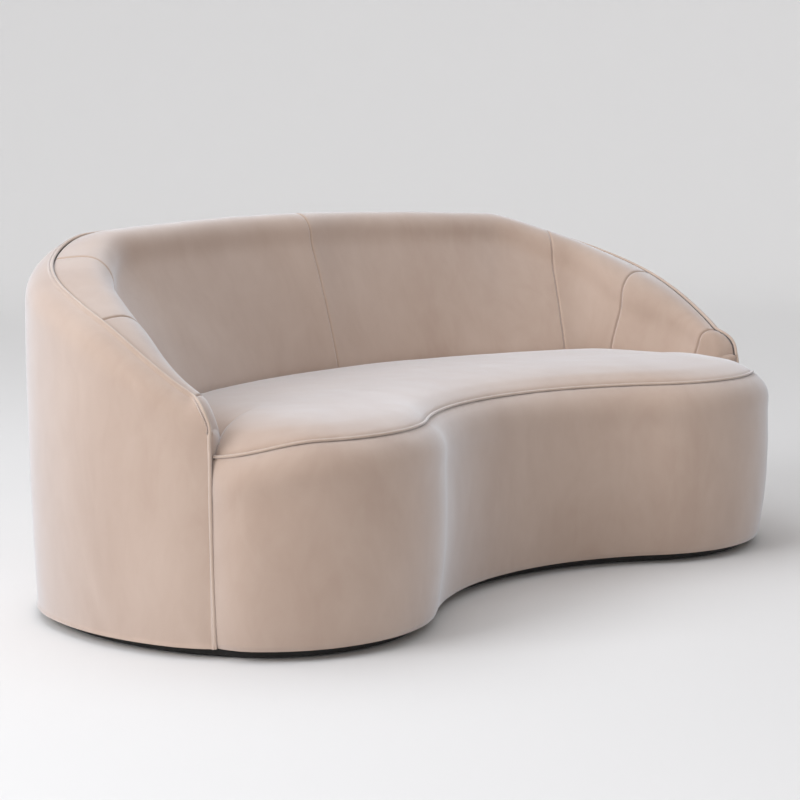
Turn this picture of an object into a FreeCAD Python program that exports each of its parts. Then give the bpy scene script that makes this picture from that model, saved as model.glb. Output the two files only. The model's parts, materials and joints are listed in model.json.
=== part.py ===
"""Curved two-seat sofa on a recessed plinth, built in millimetres.

X runs along the sofa, the front faces -Y and Z is up. The origin is on the floor, under the
middle of the bounding box. One sheet holds the driving dimensions. The plan of the hem is a
chain of tangent arcs, and so is the line where the seat meets the arms and the back. Every
upright section stands square to the hem line.
"""
import FreeCAD, Part
import Sketcher
import math
import os

doc = FreeCAD.newDocument("CurvedSofa")
sheet = doc.addObject("Spreadsheet::Sheet", "Sizes")
V = FreeCAD.Vector

SIZES = (
    # Overall form
    ("width", 1830),
    ("depth", 970),
    ("back_height", 766),
    ("rear_height", 750),
    ("corner_height", 709),
    ("arm_height", 608),
    ("arm_front_height", 478),
    ("nose_height", 456),
    ("side_crown", 6),
    ("front_crown", 19),
    ("hem_draw", 5),
    # Hem line in plan
    ("lobe_radius", 309),
    ("lobe_turn", 58.6),
    ("side_radius", 604),
    ("side_turn", 105),
    ("corner_radius", 360),
    ("waist_depth", 197),
    # Seat well in plan
    ("back_depth", 246),
    ("well_back_radius", 1250),
    ("well_corner_radius", 170),
    ("well_arm_radius", 620),
    ("well_half_width", 757),
    ("arm_setback", 225),
    ("nose_turn", 62.5),
    ("arm_front_seam", 66.5),
    ("arm_seam", 90.6),
    ("corner_seam", 135),
    # Seat
    ("seat_height", 402),
    ("seat_end_height", 374),
    ("seat_rear_height", 424),
    ("seat_crown", 438),
    ("seat_welt_inset", 18),
    ("seat_foam_top", 360),
    ("seat_foam_inset", 42),
    ("seat_rim_roll", 78),
    ("seat_felt_inset", 43),
    ("seat_corner", 16),
    ("seat_front_arcs", 7),
    ("seat_back_arcs", 5),
    ("rim_dip", 210),
    ("wrap_drop", 5),
    ("well_gap", 1),
    # Inside back and arms
    ("back_crest", 60),
    ("corner_crest", 78),
    ("arm_crest", 60),
    ("nose_crest", 28),
    ("back_roll", 62),
    ("corner_roll", 76),
    ("arm_roll", 86),
    ("nose_roll", 42),
    ("back_dome", 11),
    ("arm_dome", 6),
    ("nose_dome", 5),
    ("face_crown", 14),
    ("foot_rise", 10),
    ("tuck_depth", 10),
    ("welt_inset", 55),
    ("nose_welt_inset", 42),
    ("shoulder", 62),
    ("nose_shoulder", 40),
    ("tuck_gap", 14),
    ("nose_draw", 16),
    ("edge_draw", 9),
    ("draw_length", 90),
    ("corner_fan", 45),
    ("rear_fan", 80),
    ("least_bow", 0.01),
    # Covers, welts and padding
    ("cover", 2),
    ("clearance", 0.3),
    ("welt_size", 7),
    ("welt_bend", 12),
    ("welt_step", 45),
    ("seat_welt_size", 6),
    # Frame
    ("glide_height", 4),
    ("glide_size", 26),
    ("plinth_height", 17),
    ("plinth_setback", 34),
    ("plinth_width", 60),
    ("board", 18),
    ("ring_width", 84),
    ("edge_setback", 22),
    ("stud_rise", 223),
    ("skin", 4),
    ("rail_height", 22),
    ("rail_drop_back", 75),
    ("rail_drop_arm", 62),
    ("rail_drop_nose", 46),
    ("foam_back", 61),
    ("foam_corner", 80),
    ("foam_arm", 48),
    ("foam_nose", 34),
    ("arm_foam_ease", 0.8),
    ("stud_depth", 60),
    ("stud_setback", 3),
    ("cross_rail_spacing", 430),
    ("splice_length", 220),
    ("splice_depth", 56),
    ("cross_rail_height", 60),
    ("ring_lap", 12),
    ("ring_corner_turn", 50),
    ("ring_arm_turn", 90),
    ("strap_lap", 22),
    ("strap_ease", 4),
    ("dust_cover", 1),
    ("rib_hole", 0.42),
    ("least_hole", 30),
    # Springing
    ("strap_width", 60),
    ("strap", 2),
    ("strap_pitch", 150),
    ("strap_count", 9),
    ("cross_strap_spacing", 150),
    ("cross_strap_middle", -25),
    ("deck", 3),
)
for row, (alias, value) in enumerate(SIZES, start=1):
    sheet.set("A%d" % row, alias)
    sheet.set("B%d" % row, str(value))
    sheet.setAlias("B%d" % row, alias)
doc.recompute()


def size(alias):
    """Value of one driving dimension."""
    return float(sheet.get(alias))


HALF_TURN = 180.0
LEFT = -1
RIGHT = 1
SIDES = ((LEFT, "left"), (RIGHT, "right"))

# Heights worked out from the sizes
BASE_Z = size("glide_height") + size("plinth_height")
BASE_TOP = BASE_Z + size("board")
RING_Z = BASE_TOP + size("stud_rise")
RING_TOP = RING_Z + size("board")
DECK_Z = RING_TOP + 2 * size("strap") + size("clearance")
DECK_TOP = DECK_Z + size("deck")
TUCK_Z = DECK_TOP + size("tuck_gap")

# Hem line: waist, lobe, side, corner and back arcs that run into each other
HEM_HALF = size("width") / 2 - size("side_crown")
FRONT_Y = -size("depth") / 2 + size("front_crown")
BACK_Y = size("depth") / 2 - size("side_crown")


def heading(degrees):
    """Outward unit direction of the hem line where it runs at this heading."""
    turn = math.radians(degrees)
    return V(math.sin(turn), -math.cos(turn), 0)


class Arc:
    """One arc of a plan line, from one heading to a greater one; hollow where it bends inwards."""

    def __init__(self, centre, radius, start, end, hollow=False):
        self.centre = centre
        self.radius = radius
        self.start = start
        self.end = end
        self.sign = -1 if hollow else 1

    def at(self, degrees, offset=0.0):
        """Point of the arc, moved outwards by the offset."""
        return self.centre + heading(degrees) * (self.sign * self.radius + offset)


def hem_arcs():
    """Right half of the hem line, from the waist to the middle of the back."""
    lobe_turn = size("lobe_turn")
    side_turn = size("side_turn")
    lobe = size("lobe_radius")
    side = size("side_radius")
    corner = size("corner_radius")
    towards = heading(lobe_turn)
    lobe_centre = V(HEM_HALF - side + (side - lobe) * towards.x, FRONT_Y + lobe, 0)
    side_centre = lobe_centre - towards * (side - lobe)
    corner_centre = side_centre + heading(side_turn) * (side - corner)
    drop = corner_centre.y - BACK_Y
    back = (corner ** 2 - corner_centre.x ** 2 - drop ** 2) / (2 * (drop + corner))
    back_centre = V(0, BACK_Y - back, 0)
    back_turn = HALF_TURN - math.degrees(math.asin(corner_centre.x / (back - corner)))
    waist_y = FRONT_Y + size("waist_depth")
    rise = lobe_centre.y - waist_y
    waist = (lobe_centre.x ** 2 + rise ** 2 - lobe ** 2) / (2 * (lobe - rise))
    waist_turn = math.degrees(math.asin(lobe_centre.x / (waist + lobe)))
    return [
        Arc(V(0, waist_y - waist, 0), waist, -waist_turn, 0.0, hollow=True),
        Arc(lobe_centre, lobe, -waist_turn, lobe_turn),
        Arc(side_centre, side, lobe_turn, side_turn),
        Arc(corner_centre, corner, side_turn, back_turn),
        Arc(back_centre, back, back_turn, HALF_TURN),
    ]


def well_arcs():
    """Right half of the line where the seat meets the arm and the back."""
    arm = size("well_arm_radius")
    corner = size("well_corner_radius")
    back = size("well_back_radius")
    arm_centre = V(size("well_half_width") - arm, -size("depth") / 2 + size("arm_setback"), 0)
    back_centre = V(0, size("depth") / 2 - size("back_depth") - back, 0)
    to_arm = arm - corner
    to_back = back - corner
    across = back_centre - arm_centre
    reach = across.Length
    along = (to_arm ** 2 - to_back ** 2 + reach ** 2) / (2 * reach)
    aside = math.sqrt(to_arm ** 2 - along ** 2)
    unit = across / reach
    corner_centre = arm_centre + unit * along + V(-unit.y, unit.x, 0) * aside
    from_arm = corner_centre - arm_centre
    from_back = corner_centre - back_centre
    first_turn = math.degrees(math.atan2(from_arm.x, -from_arm.y))
    second_turn = math.degrees(math.atan2(from_back.x, -from_back.y))
    return [
        Arc(arm_centre, arm, 60.0, first_turn),
        Arc(corner_centre, corner, first_turn, second_turn),
        Arc(back_centre, back, second_turn, HALF_TURN),
    ]


HEM = hem_arcs()
WAIST, LOBE, SIDE, CORNER, BACK = HEM
WELL = well_arcs()
WELL_ARM, WELL_CORNER, WELL_BACK = WELL


def hem_at(degrees, offset=0.0):
    """Point of the hem line beyond the waist arc, by its heading."""
    for arc in HEM[1:]:
        if degrees <= arc.end:
            return arc.at(degrees, offset)
    return BACK.at(HALF_TURN, offset)


def well_length(arc, degrees):
    """Length of the well line from its start to a heading on one of its arcs."""
    total = arc.radius * math.radians(degrees - arc.start)
    for before in WELL[:WELL.index(arc)]:
        total += before.radius * math.radians(before.end - before.start)
    return total


def well_at(length):
    """Point of the well line at a length from its start."""
    for arc in WELL:
        span = arc.radius * math.radians(arc.end - arc.start)
        if length <= span or arc is WELL_BACK:
            return arc.at(arc.start + math.degrees(length / arc.radius))
        length -= span


def well_square_to(degrees):
    """Length along the well line to the point square inside the hem at this heading."""
    start = hem_at(degrees)
    inward = heading(degrees) * -1
    found = []
    for arc in WELL:
        away = start - arc.centre
        half = away.dot(inward)
        under = half ** 2 - away.dot(away) + arc.radius ** 2
        if under < 0:
            continue
        reach = -half - math.sqrt(under)
        place = start + inward * reach - arc.centre
        turn = math.degrees(math.atan2(place.x, -place.y))
        if reach > 0 and arc.start <= turn <= arc.end:
            found.append((reach, well_length(arc, turn)))
    return min(found)[1]


def hem_length(degrees):
    """Length of the hem line from the lobe's foremost point to this heading."""
    total = 0.0
    for arc in HEM[1:]:
        first = max(arc.start, 0.0)
        last = min(arc.end, degrees)
        if last > first:
            total += arc.radius * math.radians(last - first)
    return total


def blend(nose, seam, arm, corner, rear, back):
    """Smooth value along the arm and the back from its values at the seams, flat at the middle."""
    turns = (size("nose_turn"), size("arm_front_seam"), size("arm_seam"), size("corner_seam"), BACK.start, HALF_TURN)
    places = [hem_length(turn) for turn in turns]
    values = (nose, seam, arm, corner, rear, back)
    slopes = [(values[k + 1] - values[k]) / (places[k + 1] - places[k]) for k in range(len(places) - 1)]
    rates = [slopes[0]]
    for before, after in zip(slopes, slopes[1:]):
        rates.append(2 * before * after / (before + after) if before * after > 0 else 0.0)
    rates.append(0.0)

    def value(degrees):
        place = min(max(hem_length(degrees), places[0]), places[-1])
        k = max(j for j in range(len(places) - 1) if places[j] <= place)
        span = places[k + 1] - places[k]
        t = (place - places[k]) / span
        return (
            (1 + 2 * t) * (1 - t) ** 2 * values[k]
            + t * (1 - t) ** 2 * span * rates[k]
            + t * t * (3 - 2 * t) * values[k + 1]
            + t * t * (t - 1) * span * rates[k + 1]
        )

    return value


WELL_LENGTH = well_length(WELL_BACK, HALF_TURN)
well_place = blend(
    well_square_to(size("nose_turn")),
    well_square_to(size("arm_front_seam")),
    well_square_to(size("arm_seam")),
    well_square_to(size("corner_seam")) - size("corner_fan"),
    well_square_to(BACK.start) + size("rear_fan"),
    WELL_LENGTH,
)
top_height = blend(
    size("nose_height"), size("arm_front_height"), size("arm_height"),
    size("corner_height"), size("rear_height"), size("back_height"),
)
welt_inset = blend(
    size("nose_welt_inset"), size("nose_welt_inset"), size("welt_inset"),
    size("welt_inset"), size("welt_inset"), size("welt_inset"),
)
crest_width = blend(
    size("nose_crest"), size("nose_crest"), size("arm_crest"),
    size("corner_crest"), size("back_crest"), size("back_crest"),
)
roll = blend(
    size("nose_roll"), size("nose_roll"), size("arm_roll"),
    size("corner_roll"), size("back_roll"), size("back_roll"),
)
crest_dome = blend(
    size("nose_dome"), size("nose_dome"), size("arm_dome"),
    size("arm_dome"), size("back_dome"), size("back_dome"),
)
foam_depth = blend(
    size("foam_nose"), size("foam_nose"), size("foam_arm"),
    size("foam_corner"), size("foam_back"), size("foam_back"),
)
foot_height = blend(
    size("seat_end_height") + size("foot_rise"), size("seat_end_height") + 2 * size("foot_rise"),
    size("seat_rear_height"), size("seat_rear_height"), size("seat_rear_height"), size("seat_rear_height"),
)
rail_drop = blend(
    size("rail_drop_nose"), size("rail_drop_nose"), size("rail_drop_arm"),
    size("rail_drop_back"), size("rail_drop_back"), size("rail_drop_back"),
)


def nose_round(degrees, depth):
    """Shrinkage of the arm's front end at a depth under its surface, a quarter round."""
    amount = size("nose_draw")
    along = max(hem_length(degrees) - hem_length(size("nose_turn")) - depth, 0.0)
    if along >= amount:
        return 0.0
    return amount - math.sqrt(amount ** 2 - (amount - along) ** 2)


class Section:
    """Upright section of the arms and the back, on one side of the sofa.

    It runs square to the hem line from outside as far as the welt, then straight to the well line.
    In the arms both runs are one.
    """

    def __init__(self, side, degrees):
        self.side = side
        self.degrees = degrees
        self.outward = heading(degrees)
        self.origin = hem_at(degrees)
        self.inset = welt_inset(degrees)
        self.welt = self.origin - self.outward * self.inset
        inner = well_at(well_square_to(degrees) if degrees <= size("arm_seam") else well_place(degrees))
        self.inward = (inner - self.welt).normalize()
        self.width = self.inset + (inner - self.welt).Length

    def point(self, outside, height):
        """Point by its distance outside the hem line and its height."""
        if outside >= -self.inset:
            place = self.origin + self.outward * outside
        else:
            place = self.welt + self.inward * (-outside - self.inset)
        return V(self.side * place.x, place.y, height)

    def points(self, pairs):
        """Points of an outline that is given as pairs of distance and height."""
        return [self.point(*pair) for pair in pairs]


def offset_pairs(pairs, distance):
    """The same run of points, moved to its right by the distance."""
    moved = []
    for k, (across, height) in enumerate(pairs):
        before = pairs[max(k - 1, 0)]
        after = pairs[min(k + 1, len(pairs) - 1)]
        run = after[0] - before[0]
        rise = after[1] - before[1]
        length = math.hypot(run, rise)
        moved.append((across + distance * rise / length, height - distance * run / length))
    return moved


def well_face(degrees, depth=0.0):
    """Run of points inside the arms and the back, from the tuck over the crest to the welt.

    It is the outside of the inner cover, or lies at a depth under it. The points lie in threes,
    each three the ends and the middle of one arc.
    """
    width = Section(RIGHT, degrees).width
    top = top_height(degrees)
    shrink = nose_round(degrees, depth)
    turn = roll(degrees)
    foot = -width + shrink
    foot_z = foot_height(degrees)
    crest = -welt_inset(degrees) - crest_width(degrees)
    crest_z = top + crest_dome(degrees) - shrink
    rise = max(crest - 0.6 * turn, foot + 4)
    rise_z = max(crest_z - turn, foot_z + 5)
    end = -welt_inset(degrees) - size("welt_size") / 2 - size("clearance")
    end_z = top - shrink
    bulge = size("face_crown") * (rise_z - foot_z) / size("back_height")
    face = [
        (foot + size("tuck_depth"), TUCK_Z),
        (foot + 0.4 * size("tuck_depth"), (TUCK_Z + foot_z) / 2),
        (foot, foot_z),
        ((foot + rise) / 2 - bulge, (foot_z + rise_z) / 2 + bulge * (rise - foot) / (rise_z - foot_z)),
        (rise, rise_z),
        (rise + 0.27 * (crest - rise), rise_z + 0.74 * (crest_z - rise_z)),
        (crest, crest_z),
        ((crest + end) / 2, (crest_z + end_z) / 2 + 0.3 * (crest_z - end_z)),
        (end, end_z),
    ]
    return offset_pairs(face, depth)


def outer_face(degrees, depth=0.0):
    """Run of points outside the arms and the back, from the welt over the shoulder to the hem."""
    top = top_height(degrees)
    along = hem_length(degrees) - hem_length(size("nose_turn"))
    ease = max(0.0, 1 - along / size("draw_length")) ** 2
    draw = size("edge_draw") * ease
    start = -welt_inset(degrees) + size("welt_size") / 2 + size("clearance")
    start_z = top - size("welt_size") / 2
    drop = size("shoulder") + (size("nose_shoulder") - size("shoulder")) * ease
    side = size("side_crown") - 2 - draw
    side_z = top - drop
    middle = size("side_crown") - draw
    middle_z = (side_z + BASE_Z) / 2
    hem = -size("hem_draw") - draw
    face = [
        (start, start_z),
        (start + 0.70 * (side - start), side_z + 0.72 * (start_z - side_z)),
        (side, side_z),
        (middle, middle_z),
        (hem, BASE_Z),
    ]
    return offset_pairs(face, depth)


# Outlines and lofts


def edge_through(first, middle, last):
    """Arc through three points, or a line where they hardly bend."""
    chord = last - first
    bow = (middle - first).cross(chord).Length / chord.Length
    if bow < size("least_bow"):
        return Part.makeLine(first, last)
    return Part.Arc(first, middle, last).toShape()


def arcs_through(points):
    """Edges of a run of points taken in threes that share their ends."""
    return [edge_through(*points[k:k + 3]) for k in range(0, len(points) - 2, 2)]


def lines_through(points):
    """Straight edges from point to point."""
    return [Part.makeLine(first, last) for first, last in zip(points, points[1:])]


def loft(wires):
    """Closed solid through a row of like outlines."""
    return Part.makeLoft(wires, True, False)


def strip_wire(outer, inner):
    """Closed outline of a thin cover from its outer and inner runs of points."""
    edges = arcs_through(outer)
    edges += lines_through([outer[-1], inner[-1]])
    edges += arcs_through(inner[::-1])
    edges += lines_through([inner[0], outer[0]])
    return Part.Wire(edges)


def padded_wire(outer, corners):
    """Closed outline with a soft outer run and straight sides through the corners."""
    edges = arcs_through(outer) + lines_through([outer[-1]] + corners + [outer[0]])
    return Part.Wire(edges)


def hem_turn(length):
    """Heading of the hem line at a length from the lobe's foremost point."""
    for arc in HEM[1:]:
        first = max(arc.start, 0.0)
        span = arc.radius * math.radians(arc.end - first)
        if length <= span or arc is BACK:
            return min(first + math.degrees(length / arc.radius), HALF_TURN)
        length -= span


def turns_between(first, last, step=72.0):
    """Headings of evenly spaced sections from one heading to another."""
    start = hem_length(first)
    length = hem_length(last) - start
    count = max(2, math.ceil(length / step))
    return [hem_turn(start + length * k / count) for k in range(count + 1)]


def part_feature(label, shape):
    """Sub-part whose shape is set by the functions above."""
    feature = doc.addObject("Part::Feature", label)
    feature.Label = label
    feature.Shape = shape
    feature.Placement = FreeCAD.Placement()
    SUBPARTS.append(feature)
    return feature


SUBPARTS = []
GLIDE_TURNS = (0.0, 80.0, 130.0, 172.0)
FRONT_STUDS = (190.0, 330.0, 560.0, 720.0, 880.0)
NOSE = size("nose_turn")
GAP = size("clearance")
COVER = size("cover")
NOSE_IN = hem_turn(hem_length(NOSE) + 2 * COVER)


def around(first, last):
    """Sections from the right-hand arm round the back to the left-hand arm."""
    turns = turns_between(first, last)
    right = [Section(RIGHT, turn) for turn in turns]
    left = [Section(LEFT, turn) for turn in turns[-2::-1]]
    return right + left


# Frame lines behind the foam


def board_line(degrees):
    """Front of the inner skin: up from the seat ring, then leaning back to the top rail."""
    width = Section(RIGHT, degrees).width
    foot = -width + foam_depth(degrees)
    crest = -welt_inset(degrees) - crest_width(degrees)
    lean = max(crest - 0.6 * roll(degrees) + 0.7 * foam_depth(degrees), foot)
    return [(foot, RING_TOP), (foot, min(foot_height(degrees), rail_top(degrees) - 5)), (lean, rail_top(degrees))]


def rail_top(degrees):
    """Height of the top rail's upper face."""
    return top_height(degrees) - rail_drop(degrees)


SKIN_OUT = -size("edge_setback") + size("skin")


# Covers


def inner_panel(label, side, first, last):
    """One sewn panel of the cover inside the arms and the back."""
    wires = []
    for turn in turns_between(first, last):
        section = Section(side, turn)
        wires.append(strip_wire(section.points(well_face(turn)), section.points(well_face(turn, COVER))))
    return part_feature(label, loft(wires))


def nose_turns(start, last):
    """Headings that close in on the rounded front end of the arm."""
    first = hem_length(NOSE) + start
    length = hem_length(last) - first
    return [hem_turn(first + length * share) for share in (0.0, 0.08, 0.2, 0.38, 0.64, 1.0)]


def arm_front_cover(label, side):
    """Sewn panel over the arm's front end, with its front face."""
    wires = []
    for turn in nose_turns(0.0, size("arm_front_seam")):
        section = Section(side, turn)
        wires.append(strip_wire(section.points(well_face(turn)), section.points(well_face(turn, COVER))))
    section = Section(side, NOSE)
    face = well_face(NOSE, COVER / 2)
    shoulder = outer_face(NOSE, COVER + GAP)[:3]
    under = (face[-1][0], shoulder[0][1] + COVER)
    edges = arcs_through(section.points(face)) + lines_through(section.points([face[-1], under, shoulder[0]]))
    edges += arcs_through(section.points(shoulder))
    edges += lines_through(section.points([shoulder[-1], (shoulder[-1][0], TUCK_Z), face[0]]))
    turn = math.radians(NOSE)
    back = V(side * math.cos(turn), math.sin(turn), 0) * COVER
    return part_feature(label, loft(wires).fuse(Part.Face(Part.Wire(edges)).extrude(back)).Solids[0])


def outer_cover():
    """Outer cover of both arms and the back, in one sewn length."""
    wires = []
    for section in around(NOSE, HALF_TURN):
        turn = section.degrees
        wires.append(strip_wire(section.points(outer_face(turn)), section.points(outer_face(turn, COVER))))
    return part_feature("outer_cover", loft(wires))


# Foam and padding of the arms and the back


def foam_wire(section, ease):
    """Closed outline of the foam between the frame and the covers, clear of them by the ease."""
    turn = section.degrees
    inside = well_face(turn, COVER + ease)
    shoulder = outer_face(turn, COVER + GAP)[:3]
    line = [(across - GAP, height) for across, height in board_line(turn)]
    over = rail_top(turn) + GAP
    corners = [(SKIN_OUT, over), (line[2][0], over), (line[1][0], line[1][1]), (line[1][0], TUCK_Z)]
    edges = arcs_through(section.points(inside))
    edges += lines_through(section.points([inside[-1], shoulder[0]]))
    edges += arcs_through(section.points(shoulder))
    edges += lines_through(section.points([shoulder[-1]] + corners + [inside[0]]))
    return Part.Wire(edges)


def back_foam():
    """Foam of the back, from one arm seam round to the other."""
    return part_feature("back_foam", loft([foam_wire(section, GAP) for section in around(size("arm_seam"), HALF_TURN)]))


def arm_foam(label, side):
    """Foam of one arm, with its rounded front end."""
    seam = size("arm_front_seam")
    start = hem_length(NOSE) + COVER + GAP
    near = [hem_turn(start + (hem_length(seam) - start) * share) for share in (0.0, 0.1, 0.3, 0.6)]
    turns = near + turns_between(seam, hem_turn(hem_length(size("arm_seam")) - GAP))
    return part_feature(label, loft([foam_wire(Section(side, turn), size("arm_foam_ease")) for turn in turns]))


def outer_padding():
    """Thin padding between the outer skin and the outer cover."""
    wires = []
    for section in around(hem_turn(hem_length(NOSE) + COVER), HALF_TURN):
        turn = section.degrees
        face = outer_face(turn, COVER + GAP)[2:]
        face[0] = (face[0][0], face[0][1] - GAP)
        corners = [(SKIN_OUT + GAP, BASE_Z), (SKIN_OUT + GAP, rail_top(turn))]
        wires.append(padded_wire(section.points(face), section.points(corners)))
    return part_feature("outer_padding", loft(wires))


# Frame above the seat ring


def upright_strip(section, line, thickness):
    """Closed outline of a thin board that stands along a line of points."""
    back = [(across + thickness, height) for across, height in line[::-1]]
    points = section.points(line + back)
    return Part.Wire(lines_through(points + points[:1]))


def inner_skin():
    """Bent board that carries the foam inside the arms and the back."""
    wires = [upright_strip(section, board_line(section.degrees), size("skin")) for section in around(NOSE_IN, HALF_TURN)]
    return part_feature("inner_skin", loft(wires))


def outer_skin():
    """Bent board round the outside of the arms and the back."""
    wires = []
    for section in around(NOSE_IN, HALF_TURN):
        line = [(-size("edge_setback") + GAP, BASE_Z), (-size("edge_setback") + GAP, rail_top(section.degrees))]
        wires.append(upright_strip(section, line, size("skin") - GAP))
    return part_feature("outer_skin", loft(wires))


def top_rail(label, side):
    """Shaped rail along the top of one arm and half of the back."""
    wires = []
    for turn in turns_between(NOSE_IN, HALF_TURN):
        section = Section(side, turn)
        top = rail_top(turn)
        inner = board_line(turn)[2][0] + size("skin") + GAP
        low = top - size("rail_height")
        outer = -size("edge_setback")
        corners = section.points([(inner, low), (inner, top), (outer, top), (outer, low)])
        wires.append(Part.Wire(lines_through(corners + corners[:1])))
    return part_feature(label, loft(wires))


def rib(label, side, turn, skins, rail):
    """Upright plywood rib between the two skins, from the seat ring to the top rail."""
    section = Section(side, turn)
    outer = -size("edge_setback")
    line = board_line(turn)
    foot = section.point(outer, RING_TOP)
    toe = section.point(line[0][0], RING_TOP)
    along = (toe - foot).normalize()
    across = V(-along.y, along.x, 0)
    reach = (toe - foot).Length
    top = rail_top(turn) - size("rail_height") / 2
    share = (top - line[1][1]) / (line[2][1] - line[1][1])
    lean = (line[1][0] - line[2][0]) * share
    outline = [
        foot,
        toe,
        toe + V(0, 0, line[1][1] - RING_TOP),
        foot + along * (reach + lean) + V(0, 0, top - RING_TOP),
        foot + V(0, 0, top - RING_TOP),
    ]
    edges = lines_through(outline + outline[:1])
    plate = Part.Face(Part.Wire(edges)).translated(across * (-size("board") / 2)).extrude(across * size("board"))
    hole = min(reach, top - RING_TOP) * size("rib_hole")
    if hole > size("least_hole"):
        centre = foot + along * (reach * 0.5) + V(0, 0, (size("seat_rear_height") - RING_TOP) * 0.55)
        start = centre - across * size("board")
        plate = plate.cut(Part.makeCylinder(hole / 2, 2 * size("board"), start, across))
    for neighbour in skins + [rail]:
        plate = plate.cut(neighbour)
    return part_feature(label, max(plate.Solids, key=lambda solid: solid.Volume))




# Front of the sofa under the seat


WAIST_LENGTH = WAIST.radius * math.radians(-WAIST.start)
LOBE_BEFORE = LOBE.radius * math.radians(-LOBE.start)
FRONT_LENGTH = WAIST_LENGTH + LOBE_BEFORE + hem_length(NOSE)


def front_place(length):
    """Arc and heading of the hem line at a length from the middle of the waist."""
    if length < WAIST_LENGTH:
        return WAIST, -math.degrees(length / WAIST.radius)
    length -= WAIST_LENGTH + LOBE_BEFORE
    if length < 0:
        return LOBE, math.degrees(length / LOBE.radius)
    turn = hem_turn(length)
    return (LOBE if turn < LOBE.end else SIDE), turn


def front_point(side, length, outside, height):
    """Point of the front by its length from the middle, distance outside the hem and height."""
    arc, turn = front_place(length)
    place = arc.at(turn, outside)
    return V(side * place.x, place.y, height)


def rim_height(length):
    """Height of the seat's edge welt, which dips towards the arms."""
    share = min(max((length - FRONT_LENGTH + size("rim_dip")) / size("rim_dip"), 0.0), 1.0)
    dip = share * share * (3 - 2 * share)
    return size("seat_height") + (size("seat_end_height") - size("seat_height")) * dip


def front_face(length, depth=0.0):
    """Run of points down the front border, from the seat welt to the hem."""
    ease = max(0.0, 1 - (FRONT_LENGTH - length) / size("draw_length")) ** 2
    top = rim_height(length) - size("seat_welt_size") / 2 - 2 * GAP
    crown = size("front_crown")
    start = -size("seat_welt_inset") + size("seat_welt_size") / 4
    ends = outer_face(NOSE)
    full = [
        (start, top),
        (start + 0.68 * (crown - start), top - 0.24 * size("seat_rim_roll")),
        (crown - 2, top - size("seat_rim_roll")),
        (crown, (top + BASE_Z) / 2),
        (0.0, BASE_Z),
    ]
    drawn = [ends[2][0] - 6, ends[2][0] - 3, ends[3][0] - 2, ends[3][0] - 1, ends[4][0]]
    face = [(across + (near - across) * ease, height) for (across, height), near in zip(full, drawn)]
    return offset_pairs(face, depth)


def front_row(step=64.0):
    """Side and length of each section across the front, from left to right."""
    count = math.ceil(FRONT_LENGTH / step)
    lengths = [FRONT_LENGTH * k / count for k in range(count + 1)]
    return [(LEFT, length) for length in lengths[:0:-1]] + [(RIGHT, length) for length in lengths]


def front_points(side, length, pairs):
    """Points of an outline across the front border."""
    return [front_point(side, length, across, height) for across, height in pairs]


def front_cover():
    """Sewn border over the front, from the seat welt down to the hem."""
    wires = []
    for side, length in front_row():
        outer = front_points(side, length, front_face(length))
        wires.append(strip_wire(outer, front_points(side, length, front_face(length, COVER))))
    return part_feature("front_cover", loft(wires))


def front_padding():
    """Padding between the front skin, the seat foam and the front border."""
    wires = []
    for side, length in front_row():
        face = front_face(length, COVER + GAP)
        step = -size("seat_foam_inset") + GAP
        corners = [
            (SKIN_OUT + GAP, BASE_Z), (SKIN_OUT + GAP, RING_TOP + GAP),
            (step, RING_TOP + GAP), (step, face[0][1] - COVER),
        ]
        outer = front_points(side, length, face)
        wires.append(padded_wire(outer, front_points(side, length, corners)))
    return part_feature("front_padding", loft(wires))


# Seat


def seat_points(front_inset, well_gap):
    """Right half of the seat's outline in plan, in threes from the waist to the back.

    Each point has the height of the seat's rim there.
    """
    nose_in = hem_at(NOSE)
    forward = V(-math.cos(math.radians(NOSE)), -math.sin(math.radians(NOSE)), 0) * (well_gap + GAP)
    corner = nose_in + heading(NOSE) * -front_inset + forward
    turn_out = size("seat_corner")
    points = []
    last = FRONT_LENGTH - turn_out - well_gap
    count = size("seat_front_arcs") * 2
    for k in range(int(count) + 1):
        length = last * k / count
        points.append(front_point(RIGHT, length, -front_inset, rim_height(length)))
    low = size("seat_end_height")
    after = corner + heading(NOSE) * -turn_out
    points.append(V(0, 0, low) + corner + (points[-1] - V(0, 0, points[-1].z) - corner + after - corner) * 0.293)
    points.append(after + V(0, 0, low))
    inner_start = well_square_to(NOSE)
    inner = well_at(inner_start) + forward
    inner_gap = inner + heading(NOSE) * -well_gap
    points.append((after + inner_gap) * 0.5 + V(0, 0, low))
    points.append(inner_gap + heading(NOSE) * size("seat_corner") * 0.5 + V(0, 0, low + 2))
    length = inner_start + size("seat_corner")
    start = well_offset(length, -well_gap, foot_height(NOSE))
    middle = inner_gap + V(0, 0, low + 5)
    points.append(middle * 0.7 + (points[-1] + start) * 0.15)
    points.append(start)
    remain = WELL_LENGTH - length
    count = size("seat_back_arcs") * 2
    for k in range(1, int(count) + 1):
        share = k / count
        rise = min(1.0, share / 0.3)
        rise = rise * rise * (3 - 2 * rise)
        height = foot_height(NOSE) + (size("seat_rear_height") - foot_height(NOSE)) * rise
        points.append(well_offset(length + remain * share, -well_gap, height))
    return points


def well_offset(length, offset, height):
    """Point of the well line moved outwards, at a height."""
    for arc in WELL:
        span = arc.radius * math.radians(arc.end - arc.start)
        if length <= span or arc is WELL_BACK:
            place = arc.at(arc.start + math.degrees(length / arc.radius), offset)
            return V(place.x, place.y, height)
        length -= span


def closed_wire(half):
    """Closed outline from its right half in threes, mirrored to the left."""
    mirrored = [V(-point.x, point.y, point.z) for point in half]
    return Part.Wire(arcs_through(half) + arcs_through(mirrored[::-1]))


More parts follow.
